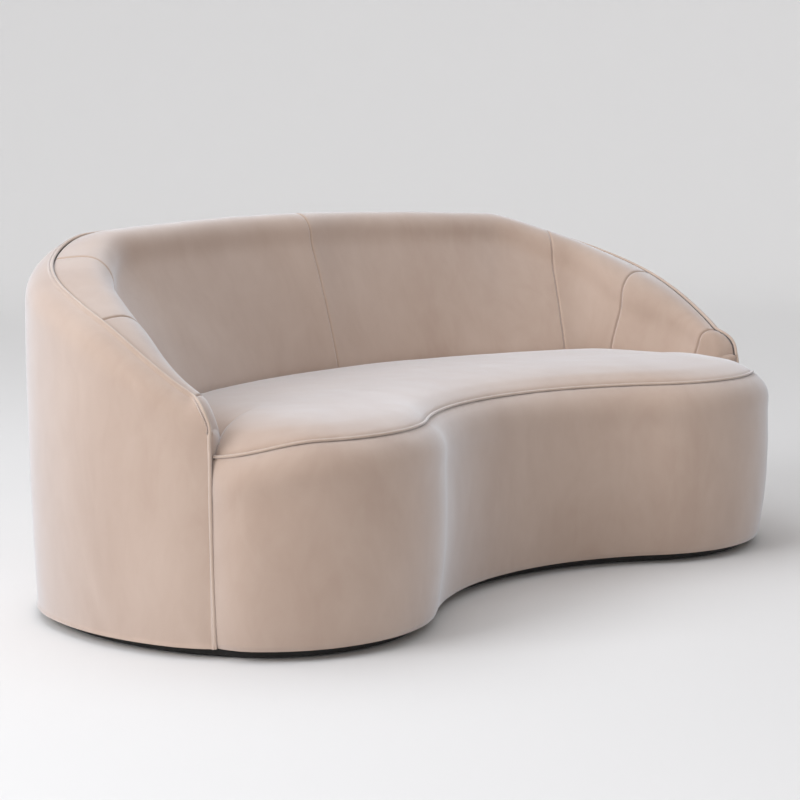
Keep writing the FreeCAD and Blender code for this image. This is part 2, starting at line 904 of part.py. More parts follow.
def pillow_ring(half, share, lift, crown, drop=0.0):
    """The outline drawn in towards the middle line of the seat and lifted towards its crown."""
    middle_y = (WAIST.at(0.0).y + WELL_BACK.at(HALF_TURN).y) / 2
    ring = []
    for point in half:
        x = min(point.x * 0.85, LOBE.centre.x)
        y = middle_y + (LOBE.centre.y - middle_y) * (x / LOBE.centre.x) ** 2
        height = point.z - drop + (crown - point.z + drop) * lift
        ring.append(V(point.x + (x - point.x) * share, point.y + (y - point.y) * share, height))
    return ring


def at_height(points, height):
    """The same plan outline, level at a height."""
    return [V(point.x, point.y, height) for point in points]


PILLOW = ((0.0, 0.0), (0.08, 0.4), (0.2, 0.7), (0.4, 0.9), (0.7, 1.0))


def sewn_solid(faces):
    """Closed solid from faces that meet along their edges."""
    skin = Part.makeCompound(faces)
    skin.sewShape()
    return Part.makeSolid(Part.Shell(skin.Faces))


def crown_rings(half, crown, drop):
    """Outlines from the rim of the seat up to the level part of its crown."""
    return [closed_wire(pillow_ring(half, share, lift, crown, drop)) for share, lift in PILLOW]


def pillow(half, crown, drop, floor):
    """Closed solid, level below, upright at its edge and crowned on top."""
    base = closed_wire(at_height(half, floor))
    rings = crown_rings(half, crown, drop)
    side = Part.makeLoft([base, rings[0]], False, True)
    top = Part.makeLoft(rings, False, False)
    return sewn_solid(side.Faces + top.Faces + [Part.Face(base), Part.Face(rings[-1])])


def crowned_sheet(half, inner_half, crown, thickness):
    """Crowned cover of one thickness over the whole seat."""
    outer = crown_rings(half, crown, 0.0)
    inner = crown_rings(inner_half, crown - thickness, thickness)
    faces = Part.makeLoft(outer, False, False).Faces + Part.makeLoft(inner, False, False).Faces
    faces += Part.makeLoft([outer[0], inner[0]], False, True).Faces
    faces += [Part.Face(outer[-1]), Part.Face(inner[-1])]
    return sewn_solid(faces)


def seat_foam():
    """Foam block of the seat on its springing."""
    half = seat_points(size("seat_foam_inset"), size("well_gap"))
    outline = closed_wire(at_height(half, DECK_TOP))
    return part_feature("seat_foam", Part.Face(outline).extrude(V(0, 0, size("seat_foam_top") - DECK_TOP)))


def seat_wrap():
    """Crowned fibre layer between the seat foam and its cover."""
    half = seat_points(size("seat_foam_inset"), size("well_gap"))
    return part_feature("seat_wrap", pillow(half, size("seat_crown") - COVER - GAP, size("wrap_drop"), size("seat_foam_top")))


def seat_cover():
    """Crowned cover of the seat, sewn to the seat welt in front."""
    inset = size("seat_welt_inset") + size("seat_welt_size") / 2 + GAP
    outer = seat_points(inset, size("well_gap"))
    inner = seat_points(inset + COVER, size("well_gap") + COVER)
    return part_feature("seat_cover", crowned_sheet(outer, inner, size("seat_crown"), COVER))


# Welts


def tube(label, points, diameter):
    """Round cord along a smooth run of points; each ring keeps the turn of the one before."""
    curve = Part.BSplineCurve()
    curve.interpolate(points)
    aside = V(1, 0, 0)
    rings = []
    for point in points:
        along = curve.tangent(curve.parameter(point))[0]
        aside = (aside - along * aside.dot(along)).normalize()
        circle = Part.Circle(point, along, diameter / 2)
        circle.XAxis = aside
        rings.append(Part.Wire(circle.toShape()))
    return part_feature(label, Part.makeLoft(rings, True, True))


def welt_points(side):
    """Middle of the body welt on one side: up the arm's front end, then along its top."""
    raised = size("welt_size") / 2 + GAP
    section = Section(side, NOSE)
    front = offset_pairs(outer_face(NOSE), -raised)
    across, height = front[3]
    points = [section.point(front[4][0], front[4][1] + GAP), section.point((front[4][0] + 3 * across) / 4, height * 0.4)]
    points += section.points([(across, height), ((across + front[2][0]) / 2 + 0.5, (height + front[2][1]) / 2)])
    points += section.points([front[2], front[1]])
    bend = size("welt_bend")
    top = top_height(NOSE)
    inset = welt_inset(NOSE)
    points.append(section.point(-inset + 0.9 * bend, top - 0.4))
    begin = hem_length(NOSE) + 0.35 * bend
    points.append(Section(side, hem_turn(begin)).point(-inset + 0.25 * bend, top_height(hem_turn(begin)) + 0.2))
    start = hem_length(NOSE) + 1.1 * bend
    reach = hem_length(HALF_TURN) - start
    count = math.ceil(reach / size("welt_step"))
    for k in range(count + 1):
        turn = hem_turn(start + reach * k / count)
        points.append(Section(side, turn).point(-welt_inset(turn), top_height(turn)))
    return points


def body_welt():
    """Corded welt up both arm fronts and along the top of the arms and the back."""
    return tube("body_welt", welt_points(RIGHT) + welt_points(LEFT)[-2::-1], size("welt_size"))


def seat_welt():
    """Corded welt along the front edge of the seat."""
    reach = FRONT_LENGTH - size("seat_welt_size")
    count = math.ceil(reach / size("welt_step"))
    points = []
    for side, order in ((LEFT, range(count, 0, -1)), (RIGHT, range(count + 1))):
        for k in order:
            length = reach * k / count
            points.append(front_point(side, length, -size("seat_welt_inset"), rim_height(length)))
    return tube("seat_welt", points, size("seat_welt_size"))


# Flat boards


def on_side(side, point, height=0.0):
    """A plan point on one side of the sofa, at a height."""
    return V(side * point.x, point.y, height)


def plan_run(side, arcs, offset):
    """Points along plan arcs at an offset, from the front round to the back, in threes."""
    points = []
    for arc in arcs:
        turns = [arc.start, (arc.start + arc.end) / 2, arc.end]
        if arc.sign < 0:
            turns.reverse()
        points = points[:-1] + [on_side(side, arc.at(turn, offset)) for turn in turns]
    return points


def outline_curves(runs):
    """Arcs through the runs of points, with straight lines where two runs do not meet."""
    curves = []
    for run, following in zip(runs, runs[1:] + runs[:1]):
        curves += [Part.Arc(*run[k:k + 3]) for k in range(0, len(run) - 2, 2)]
        if (following[0] - run[-1]).Length > size("least_bow"):
            curves.append(Part.LineSegment(run[-1], following[0]))
    return curves


def board(label, runs, thickness, base):
    """Flat board with its outline in a sketch; thickness and height above the floor follow the sheet."""
    body = doc.addObject("PartDesign::Body", label)
    body.Label = label
    plane = next(item for item in body.Origin.OriginFeatures if item.Role == "XY_Plane")
    sketch = body.newObject("Sketcher::SketchObject", "%s_outline" % label)
    sketch.AttachmentSupport = (plane, [""])
    sketch.MapMode = "FlatFace"
    sketch.addGeometry(outline_curves(runs), False)
    pad = body.newObject("PartDesign::Pad", "%s_board" % label)
    pad.Profile = sketch
    pad.setExpression("Length", thickness)
    body.setExpression("Placement.Base.z", base)
    sketch.Visibility = False
    SUBPARTS.append(body)
    return body


BASE_RISE = "Sizes.glide_height + Sizes.plinth_height"
RING_RISE = BASE_RISE + " + Sizes.board + Sizes.stud_rise"
EDGE = size("edge_setback")
RING_IN = EDGE + size("ring_width")
FRONT_EDGE = [WAIST, Arc(LOBE.centre, LOBE.radius, LOBE.start, size("ring_corner_turn"))]
WELL_EDGE = [Arc(WELL_ARM.centre, WELL_ARM.radius, size("ring_arm_turn"), WELL_ARM.end), WELL_CORNER, WELL_BACK]
FRONT_HEM = [WAIST, LOBE, Arc(SIDE.centre, SIDE.radius, SIDE.start, NOSE)]


def seat_ring(label, side):
    """Half of the ring that carries the springing, the ribs and the skins."""
    lap = size("ring_lap")
    runs = [plan_run(side, HEM, -EDGE), plan_run(side, WELL_EDGE, lap)[::-1], plan_run(side, FRONT_EDGE, -RING_IN)[::-1]]
    return board(label, runs, "Sizes.board", RING_RISE)


def front_skin(label, side):
    """Half of the bent board across the front, in front of both rings."""
    runs = [plan_run(side, FRONT_HEM, -EDGE + size("skin")), plan_run(side, FRONT_HEM, -EDGE + GAP)[::-1]]
    return board(label, runs, "2 * Sizes.board + Sizes.stud_rise", BASE_RISE)


def flat_face(runs, height):
    """Level face inside an outline."""
    edges = [curve.toShape() for curve in outline_curves(runs)]
    return Part.Face(Part.Wire(Part.__sortEdges__(edges))).translated(V(0, 0, height))


OPENING = flat_face([
    plan_run(RIGHT, FRONT_EDGE, -RING_IN), plan_run(RIGHT, WELL_EDGE, size("ring_lap")),
    plan_run(LEFT, WELL_EDGE, size("ring_lap"))[::-1], plan_run(LEFT, FRONT_EDGE, -RING_IN)[::-1],
], 0.0)
FOOTPRINT = flat_face([plan_run(RIGHT, HEM, -2 * EDGE), plan_run(LEFT, HEM, -2 * EDGE)[::-1]], 0.0)


def reach_at(face, across, along_x=False):
    """Ends of a straight line laid over a face at one place."""
    far = size("width")
    if along_x:
        bounds = Part.makeLine(V(-far, across, 0), V(far, across, 0)).common(face).BoundBox
        return bounds.XMin, bounds.XMax
    bounds = Part.makeLine(V(across, -far, 0), V(across, far, 0)).common(face).BoundBox
    return bounds.YMin, bounds.YMax


def block(label, length, width, height):
    """Box whose three sizes follow the sheet."""
    box = doc.addObject("Part::Box", label)
    box.Label = label
    box.setExpression("Length", length)
    box.setExpression("Width", width)
    box.setExpression("Height", height)
    return box


def joined(label, members):
    """One sub-part of several like pieces."""
    group = doc.addObject("Part::Compound", label)
    group.Label = label
    group.Links = members
    SUBPARTS.append(group)
    return group


def splice(label, middle_y, base):
    """Plywood plate across the joint between two half rings."""
    box = block(label, "Sizes.splice_length", "Sizes.splice_depth", "Sizes.board")
    box.setExpression("Placement.Base.x", "-Sizes.splice_length / 2")
    box.setExpression("Placement.Base.y", "%f - Sizes.splice_depth / 2" % middle_y)
    box.setExpression("Placement.Base.z", base)
    SUBPARTS.append(box)
    return box


def stud(label, side, arc, turn):
    """Upright block between the two rings, square to the hem line."""
    box = block(label, "Sizes.stud_depth", "Sizes.board", "Sizes.stud_rise")
    outward = on_side(side, heading(turn))
    turned = FreeCAD.Rotation(V(1, 0, 0), outward)
    corner = on_side(side, arc.at(turn, -EDGE - size("stud_depth") - size("stud_setback")), BASE_TOP)
    box.Placement = FreeCAD.Placement(corner - turned.multVec(V(0, size("board") / 2, 0)), turned)
    return box


def cross_rail(label, middle_x, splices):
    """Rail from the front of the seat ring to its back, notched over the splices."""
    start, end = reach_at(FOOTPRINT, middle_x)
    box = block("%s_blank" % label, "Sizes.board", str(end - start), "Sizes.cross_rail_height")
    low = RING_Z - size("cross_rail_height")
    box.Placement.Base = V(middle_x - size("board") / 2, start, low)
    if not splices:
        box.Label = label
        SUBPARTS.append(box)
        return box
    tools = doc.addObject("Part::Compound", "%s_notches" % label)
    tools.Links = splices
    cut = doc.addObject("Part::Cut", label)
    cut.Label = label
    cut.Base = box
    cut.Tool = tools
    SUBPARTS.append(cut)
    return cut


# Springing


def lengthways_strap(label, middle_x):
    """Strap from the front of the seat ring to its back."""
    start, end = reach_at(OPENING, middle_x)
    lap = size("strap_lap")
    box = block(label, "Sizes.strap_width", str(end - start + 2 * lap), "Sizes.strap")
    box.Placement.Base = V(middle_x - size("strap_width") / 2, start - lap, RING_TOP)
    return box


def strap_places():
    """Middles of the straps that run from the front to the back."""
    count = int(size("strap_count"))
    return [size("strap_pitch") * (k - (count - 1) / 2) for k in range(count)]


def crossways_strap(middle_y, first_over):
    """Strap from side to side, woven over and under the others."""
    start, end = reach_at(OPENING, middle_y, along_x=True)
    lap = size("strap_lap")
    thick = size("strap")
    reach = size("strap_width") / 2 + size("strap_ease")
    low = [(start - lap, RING_TOP), (start, RING_TOP)]
    over = first_over
    for place in strap_places():
        level = RING_TOP + thick if over else RING_TOP - thick
        low += [(place - reach, level), (place + reach, level)]
        over = not over
    low += [(end, RING_TOP), (end + lap, RING_TOP)]
    outline = low + [(across, height + thick) for across, height in low[::-1]]
    front = middle_y - size("strap_width") / 2
    points = [V(across, front, height) for across, height in outline]
    wire = Part.Wire(lines_through(points + points[:1]))
    return Part.Face(wire).extrude(V(0, size("strap_width"), 0))


def seat_felt():
    """Felt between the springing and the seat foam."""
    half = seat_points(size("seat_felt_inset"), size("well_gap"))
    outline = closed_wire(at_height(half, DECK_Z))
    return part_feature("seat_felt", Part.Face(outline).extrude(V(0, 0, size("deck"))))


# Build


outer_cover()
for side, name in SIDES:
    inner_panel("back_cover_%s" % name, side, size("corner_seam"), HALF_TURN)
    inner_panel("side_back_cover_%s" % name, side, size("arm_seam"), size("corner_seam"))
    inner_panel("arm_cover_%s" % name, side, size("arm_front_seam"), size("arm_seam"))
    arm_front_cover("arm_front_cover_%s" % name, side)
    arm_foam("arm_foam_%s" % name, side)
back_foam()
outer_padding()
front_cover()
front_padding()
seat_cover()
seat_wrap()
seat_foam()
seat_felt()
body_welt()
seat_welt()

inner = inner_skin()
outer = outer_skin()
RIB_TURNS = (
    ("arm_front", size("arm_front_seam")),
    ("arm", size("arm_seam")),
    ("corner", size("corner_seam")),
    ("rear", BACK.start),
    ("back", hem_turn((hem_length(BACK.start) + hem_length(HALF_TURN)) / 2)),
)
for side, name in SIDES:
    rail = top_rail("top_rail_%s" % name, side)
    for place, turn in RIB_TURNS:
        rib("%s_rib_%s" % (place, name), side, turn, [inner.Shape, outer.Shape], rail.Shape)
    front_skin("front_skin_%s" % name, side)
    seat_ring("seat_ring_%s" % name, side)
    runs = [plan_run(side, HEM, -EDGE), plan_run(side, HEM, -RING_IN)[::-1]]
    board("base_ring_%s" % name, runs, "Sizes.board", BASE_RISE)
    setback = size("plinth_setback")
    runs = [plan_run(side, HEM, -setback), plan_run(side, HEM, -setback - size("plinth_width"))[::-1]]
    board("plinth_%s" % name, runs, "Sizes.plinth_height", "Sizes.glide_height")
    glides = []
    for k, turn in enumerate(GLIDE_TURNS):
        glide = doc.addObject("Part::Cylinder", "glide_%s_%d" % (name, k + 1))
        glide.setExpression("Radius", "Sizes.glide_size / 2")
        glide.setExpression("Height", "Sizes.glide_height")
        glide.Placement.Base = on_side(side, hem_at(turn, -setback - size("plinth_width") / 2))
        glides.append(glide)
    joined("glides_%s" % name, glides)

inside = -size("plinth_setback") - size("plinth_width") - GAP
board("dust_cover", [plan_run(RIGHT, HEM, inside), plan_run(LEFT, HEM, inside)[::-1]], "Sizes.dust_cover", BASE_RISE + " - Sizes.dust_cover")
front_splice_y = WAIST.at(0.0).y + (EDGE + RING_IN) / 2
rear_splice_y = BACK_Y - (EDGE + RING_IN) / 2
splice("base_splice_front", front_splice_y, BASE_RISE + " + Sizes.board")
splice("base_splice_back", rear_splice_y, BASE_RISE + " + Sizes.board")
seat_splices = [
    splice("seat_splice_front", front_splice_y, RING_RISE + " - Sizes.board"),
    splice("seat_splice_back", rear_splice_y, RING_RISE + " - Sizes.board"),
]
spacing = size("cross_rail_spacing")
cross_rail("cross_rail_left", -spacing, [])
cross_rail("cross_rail_centre", 0.0, seat_splices)
cross_rail("cross_rail_right", spacing, [])
front_studs = []
rear_studs = []
for side, name in SIDES:
    for k, length in enumerate(FRONT_STUDS):
        arc, turn = front_place(length)
        front_studs.append(stud("front_stud_%s_%d" % (name, k + 1), side, arc, turn))
    for place, turn in RIB_TURNS:
        arc = next(item for item in HEM[1:] if turn <= item.end)
        rear_studs.append(stud("%s_stud_%s" % (place, name), side, arc, turn))
joined("front_studs", front_studs)
joined("rear_studs", rear_studs)
joined("webbing_lengthways", [lengthways_strap("strap_%d" % (k + 1), place) for k, place in enumerate(strap_places())])
half_space = size("cross_strap_spacing") / 2
straps = [crossways_strap(size("cross_strap_middle") - half_space, True), crossways_strap(size("cross_strap_middle") + half_space, False)]
part_feature("webbing_crossways", Part.makeCompound(straps))


def check_and_write():
    """Check every object and write one file for each sub-part."""
    doc.recompute()
    for item in doc.Objects:
        if "Invalid" in item.State or "Error" in item.State:
            raise RuntimeError("%s failed" % item.Name)
    for item in SUBPARTS:
        if item.Shape.isNull() or not item.Shape.isValid():
            raise RuntimeError("%s has no valid shape" % item.Label)
    os.makedirs("parts", exist_ok=True)
    for item in SUBPARTS:
        item.Shape.exportStep("parts/%s.step" % item.Label)


check_and_write()
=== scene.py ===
"""Curved velvet sofa: sewn covers, corded welts, floor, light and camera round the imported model.

The plan and the upright sections repeat the model's own curves, in millimetres, with the outside drawn
in a little, and every mesh is made in metres. The covers are closed forms with crowned faces, sunk
seams and small puckers.
"""
import json
import math

import bmesh
import bpy
import numpy as np
from mathutils import Matrix, Vector, noise


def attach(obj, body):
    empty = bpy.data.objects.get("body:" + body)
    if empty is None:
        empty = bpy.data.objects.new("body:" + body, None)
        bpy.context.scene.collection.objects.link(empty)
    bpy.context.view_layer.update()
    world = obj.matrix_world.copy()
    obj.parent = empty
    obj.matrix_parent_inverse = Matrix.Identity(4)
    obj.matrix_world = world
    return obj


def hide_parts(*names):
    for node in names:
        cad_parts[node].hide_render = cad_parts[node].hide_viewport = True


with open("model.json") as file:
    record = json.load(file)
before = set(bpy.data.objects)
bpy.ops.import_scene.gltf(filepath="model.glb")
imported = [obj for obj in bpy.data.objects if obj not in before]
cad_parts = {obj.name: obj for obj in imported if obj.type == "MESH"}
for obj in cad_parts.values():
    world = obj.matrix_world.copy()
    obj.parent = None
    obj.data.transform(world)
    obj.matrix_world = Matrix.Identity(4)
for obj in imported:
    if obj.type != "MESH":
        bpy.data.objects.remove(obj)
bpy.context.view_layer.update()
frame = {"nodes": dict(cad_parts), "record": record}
MM = 0.001

# Overall form, in millimetres
WIDTH = 1830.0
DEPTH = 970.0
SIDE_CROWN = 6.0
FRONT_CROWN = 19.0
HEM_DRAW = 5.0
HEM_Z = 21.0
TUCK_Z = 301.3
FRONT_Y = -DEPTH / 2 + FRONT_CROWN
BACK_Y = DEPTH / 2 - SIDE_CROWN
HALF = WIDTH / 2 - SIDE_CROWN
HALF_TURN = 180.0
LEFT = -1
RIGHT = 1

# Arcs of the hem line, from the lobe by the arm's front end to the back
LOBE_RADIUS = 309.0
SIDE_RADIUS = 604.0
CORNER_RADIUS = 360.0
LOBE_TURN = 58.6
SIDE_TURN = 105.0
WAIST_SET_BACK = 197.0

# Arcs of the well line, where the seat meets the arm and the back
WELL_ARM_RADIUS = 620.0
WELL_CORNER_RADIUS = 170.0
WELL_BACK_RADIUS = 1250.0
WELL_START = 60.0
WELL_HALF_WIDTH = 757.0
WELL_ARM_BEHIND = 225.0
WELL_BACK_INSET = 246.0

# Headings of the arm's front end and of the sewn seams along the hem line
NOSE = 62.5
ARM_FRONT_SEAM = 66.5
ARM_SEAM = 90.6
CORNER_SEAM = 135.0

# How far the sections at the corner seam and behind it lean off the square, along the well line
CORNER_FAN = 45.0
REAR_FAN = 80.0

# Arm's front end: rounding of its height, easing of the welt's inset and of its outside
ARM_END_ROUND = 34.0
ARM_END_TURN = 52.0
ARM_END_INSET = 14.0
ARM_END_EASE = 90.0
ARM_END_DRAW = 9.0
NOSE_ROUND = 16.0
NOSE_BULGE = 6.0

# Inside of the arms and the back: foot, bulge, roll and crest
NOSE_FOOT = 384.0
FOOT_SET_BACK = 4.0
TUCK_SET_BACK = 10.0
LEAST_WALL = 5.0
BULGE = 14.0
BACK_WELT_HEIGHT = 766.0
ROLL_ACROSS = 0.6
ROLL_KNEE = (0.27, 0.74)
CREST_EASE = 0.3
CREST_SHRINK = 0.25

# Outside of the arms and the back, drawn in from the model's own face
DRAWN_IN = 7.0
SHOULDER_DROP = 62.0
SHOULDER_LIFT = 22.0
SHOULDER_KNEE = (0.70, 0.72)
SHOULDER_SET_IN = 2.0
HEM_TURN_IN = 3.0

# Front border
FRONT_END_ROUND = 15.0
RIM_KNEE = (0.68, 0.24)

# Welts and seat
WELT = 7.0
SEAT_WELT = 6.0
SEAT_HEIGHT = 402.0
SEAT_END_HEIGHT = 374.0
SEAT_REAR_HEIGHT = 424.0
SEAT_CROWN = 438.0
SEAT_WELT_INSET = 18.0
SEAT_CORNER = 16.0
SEAT_BACK_SHARE = 0.3
RIM_ROLL = 78.0
RIM_DIP = 210.0
CLEAR = 0.3

# Covers, in metres: depth and width of the groove at an edge, and height of the gathers
SEAM = (0.0034, 0.0026, 0.0006)
WELTED = (0.0034, 0.0030, 0.0006)
HEMMED = (0.0025, 0.006, 0.0006)
PADDING = 0.0022
INNER_SIDE = -1

# Places beside a seam, in millimetres, and passes that ease an outline
NEAR_SEAM = np.array([0.0, 0.8, 1.6, 2.5, 3.6, 5.0, 7.0, 9.5, 12.5])
NEAR_ARM_END = [0.0, 0.15, 0.6, 1.4, 2.6, 4.2, 6.2, 8.6]
SOFTENING = 90


# Plan curves


def heading(degrees):
    """Unit vector square to a plan line at a heading, 0 at the front and 180 at the back."""
    turn = math.radians(degrees)
    return Vector((math.sin(turn), -math.cos(turn)))


class Arc:
    """One arc of a plan line between two headings; hollow where it bends inwards."""

    def __init__(self, centre, radius, start, end, hollow=False):
        self.centre = centre
        self.radius = radius
        self.start = start
        self.end = end
        self.sign = -1 if hollow else 1

    def at(self, degrees, offset=0.0):
        return self.centre + heading(degrees) * (self.sign * self.radius + offset)


def hem_arcs():
    """Right half of the hem line, from the waist to the middle of the back."""
    lobe = LOBE_RADIUS
    side = SIDE_RADIUS
    corner = CORNER_RADIUS
    towards = heading(LOBE_TURN)
    lobe_centre = Vector((HALF - side + (side - lobe) * towards.x, FRONT_Y + lobe))
    side_centre = lobe_centre - towards * (side - lobe)
    corner_centre = side_centre + heading(SIDE_TURN) * (side - corner)
    drop = corner_centre.y - BACK_Y
    back = (corner ** 2 - corner_centre.x ** 2 - drop ** 2) / (2 * (drop + corner))
    back_turn = HALF_TURN - math.degrees(math.asin(corner_centre.x / (back - corner)))
    waist_y = FRONT_Y + WAIST_SET_BACK
    rise = lobe_centre.y - waist_y
    waist = (lobe_centre.x ** 2 + rise ** 2 - lobe ** 2) / (2 * (lobe - rise))
    waist_turn = math.degrees(math.asin(lobe_centre.x / (waist + lobe)))
    return [
        Arc(Vector((0, waist_y - waist)), waist, -waist_turn, 0.0, hollow=True),
        Arc(lobe_centre, lobe, -waist_turn, LOBE_TURN),
        Arc(side_centre, side, LOBE_TURN, SIDE_TURN),
        Arc(corner_centre, corner, SIDE_TURN, back_turn),
        Arc(Vector((0, BACK_Y - back)), back, back_turn, HALF_TURN),
    ]


def well_arcs():
    """Right half of the line where the seat meets the arm and the back."""
    arm = WELL_ARM_RADIUS
    corner = WELL_CORNER_RADIUS
    back = WELL_BACK_RADIUS
    arm_centre = Vector((WELL_HALF_WIDTH - arm, -DEPTH / 2 + WELL_ARM_BEHIND))
    back_centre = Vector((0, DEPTH / 2 - WELL_BACK_INSET - back))
    across = back_centre - arm_centre
    reach = across.length
    along = ((arm - corner) ** 2 - (back - corner) ** 2 + reach ** 2) / (2 * reach)
    aside = math.sqrt((arm - corner) ** 2 - along ** 2)
    unit = across / reach
    corner_centre = arm_centre + unit * along + Vector((-unit.y, unit.x)) * aside
    from_arm = corner_centre - arm_centre
    from_back = corner_centre - back_centre
    first = math.degrees(math.atan2(from_arm.x, -from_arm.y))
    second = math.degrees(math.atan2(from_back.x, -from_back.y))
    return [
        Arc(arm_centre, arm, WELL_START, first),
        Arc(corner_centre, corner, first, second),
        Arc(back_centre, back, second, HALF_TURN),
    ]


HEM = hem_arcs()
WAIST = HEM[0]
LOBE = HEM[1]
BACK = HEM[-1]
WELL = well_arcs()


def hem_at(degrees, offset=0.0):
    """Point of the hem line at a heading, or that far outside it."""
    for arc in HEM[1:]:
        if degrees <= arc.end:
            return arc.at(degrees, offset)
    return BACK.at(HALF_TURN, offset)


def hem_length(degrees):
    """Length of the hem line from the lobe's foremost point to a heading."""
    total = 0.0
    for arc in HEM[1:]:
        first = max(arc.start, 0.0)
        last = min(arc.end, degrees)
        if last > first:
            total += arc.radius * math.radians(last - first)
    return total


def hem_turn(length):
    """Heading of the hem line at a length from the lobe's foremost point."""
    for arc in HEM[1:]:
        first = max(arc.start, 0.0)
        span = arc.radius * math.radians(arc.end - first)
        if length <= span or arc is BACK:
            return min(first + math.degrees(length / arc.radius), HALF_TURN)
        length -= span


def well_length(arc, degrees):
    """Length of the well line from its start to a heading on one of its arcs."""
    total = arc.radius * math.radians(degrees - arc.start)
    for before in WELL[: WELL.index(arc)]:
        total += before.radius * math.radians(before.end - before.start)
    return total


def well_at(length, offset=0.0):
    """Point of the well line at a length from its start."""
    for arc in WELL:
        span = arc.radius * math.radians(arc.end - arc.start)
        if length <= span or arc is WELL[-1]:
            return arc.at(arc.start + math.degrees(length / arc.radius), offset)
        length -= span


def well_square_to(degrees):
    """Length along the well line to the point square inside the hem at a heading."""
    start = hem_at(degrees)
    inward = -heading(degrees)
    found = []
    for arc in WELL:
        away = start - arc.centre
        half = away.dot(inward)
        under = half ** 2 - away.dot(away) + arc.radius ** 2
        if under < 0:
            continue
        reach = -half - math.sqrt(under)
        place = start + inward * reach - arc.centre
        turn = math.degrees(math.atan2(place.x, -place.y))
        if reach > 0 and arc.start <= turn <= arc.end:
            found.append((reach, well_length(arc, turn)))
    return min(found)[1]


def blend(nose, seam, arm, corner, rear, back):
    """Smooth value along the arm and the back from its values at the seams, flat at the middle."""
    turns = (NOSE, ARM_FRONT_SEAM, ARM_SEAM, CORNER_SEAM, BACK.start, HALF_TURN)
    places = [hem_length(turn) for turn in turns]
    values = (nose, seam, arm, corner, rear, back)
    slopes = [(values[k + 1] - values[k]) / (places[k + 1] - places[k]) for k in range(5)]
    rates = [slopes[0]]
    for before, after in zip(slopes, slopes[1:]):
        rates.append(2 * before * after / (before + after) if before * after > 0 else 0.0)
    rates.append(0.0)

    def value(degrees):
        place = min(max(hem_length(degrees), places[0]), places[-1])
        k = max(j for j in range(5) if places[j] <= place)
        span = places[k + 1] - places[k]
        t = (place - places[k]) / span
        return (
            (1 + 2 * t) * (1 - t) ** 2 * values[k] + t * (1 - t) ** 2 * span * rates[k]
            + t * t * (3 - 2 * t) * values[k + 1] + t * t * (t - 1) * span * rates[k + 1]
        )

    return value


WELL_LENGTH = well_length(WELL[-1], HALF_TURN)
well_place = blend(
    well_square_to(NOSE), well_square_to(ARM_FRONT_SEAM), well_square_to(ARM_SEAM),
    well_square_to(CORNER_SEAM) - CORNER_FAN, well_square_to(BACK.start) + REAR_FAN, WELL_LENGTH,
)
welt_height = blend(456.0, 478.0, 608.0, 709.0, 750.0, BACK_WELT_HEIGHT)
top_inset = blend(42.0, 42.0, 55.0, 55.0, 55.0, 55.0)
crest_width = blend(28.0, 28.0, 60.0, 78.0, 60.0, 60.0)
roll = blend(42.0, 42.0, 86.0, 76.0, 62.0, 62.0)
crest_dome = blend(5.0, 5.0, 6.0, 6.0, 11.0, 11.0)
foot_height = blend(NOSE_FOOT, 394.0, 424.0, 424.0, 424.0, 424.0)


def arm_end(degrees, length):
    """Share of a length behind the arm's front end, from 0 at its front to 1."""
    return min(max((hem_length(degrees) - hem_length(NOSE)) / length, 0.0), 1.0)


def top_height(degrees):
    """Height of the welt, with the arm's front end rounded over."""
    left_over = 1 - arm_end(degrees, ARM_END_ROUND)
    return welt_height(degrees) - ARM_END_ROUND * (1 - math.sqrt(1 - left_over * left_over))


def welt_inset(degrees):
    """Distance of the welt inside the hem line, less at the arm's front end."""
    share = arm_end(degrees, ARM_END_TURN)
    return ARM_END_INSET + (top_inset(degrees) - ARM_END_INSET) * share * share * (3 - 2 * share)


def nose_round(degrees):
    """Shrinkage of the arm's front end, a quarter round."""
    along = max(hem_length(degrees) - hem_length(NOSE), 0.0)
    if along >= NOSE_ROUND:
        return 0.0
    return NOSE_ROUND - math.sqrt(NOSE_ROUND ** 2 - (NOSE_ROUND - along) ** 2)


def nose_forward(side):
    """Direction in which the arm's front end faces."""
    turn = math.radians(NOSE)
    return Vector((side * -math.cos(turn), -math.sin(turn), 0.0))


class Section:
    """Upright section of the arms and the back, square to the hem line as far as the welt."""

    def __init__(self, side, degrees):
        self.side = side
        self.degrees = degrees
        self.outward = heading(degrees)
        self.origin = hem_at(degrees)
        self.inset = welt_inset(degrees)
        self.welt = self.origin - self.outward * self.inset
        inner = well_at(well_square_to(degrees) if degrees <= ARM_SEAM else well_place(degrees))
        self.inward = (inner - self.welt).normalized()
        self.width = self.inset + (inner - self.welt).length

    def point(self, outside, height):
        """Point by its distance outside the hem line, less than 0 inside it, and its height."""
        if outside >= -self.inset:
            place = self.origin + self.outward * outside
        else:
            place = self.welt + self.inward * (-outside - self.inset)
        return (self.side * place.x, place.y, height)


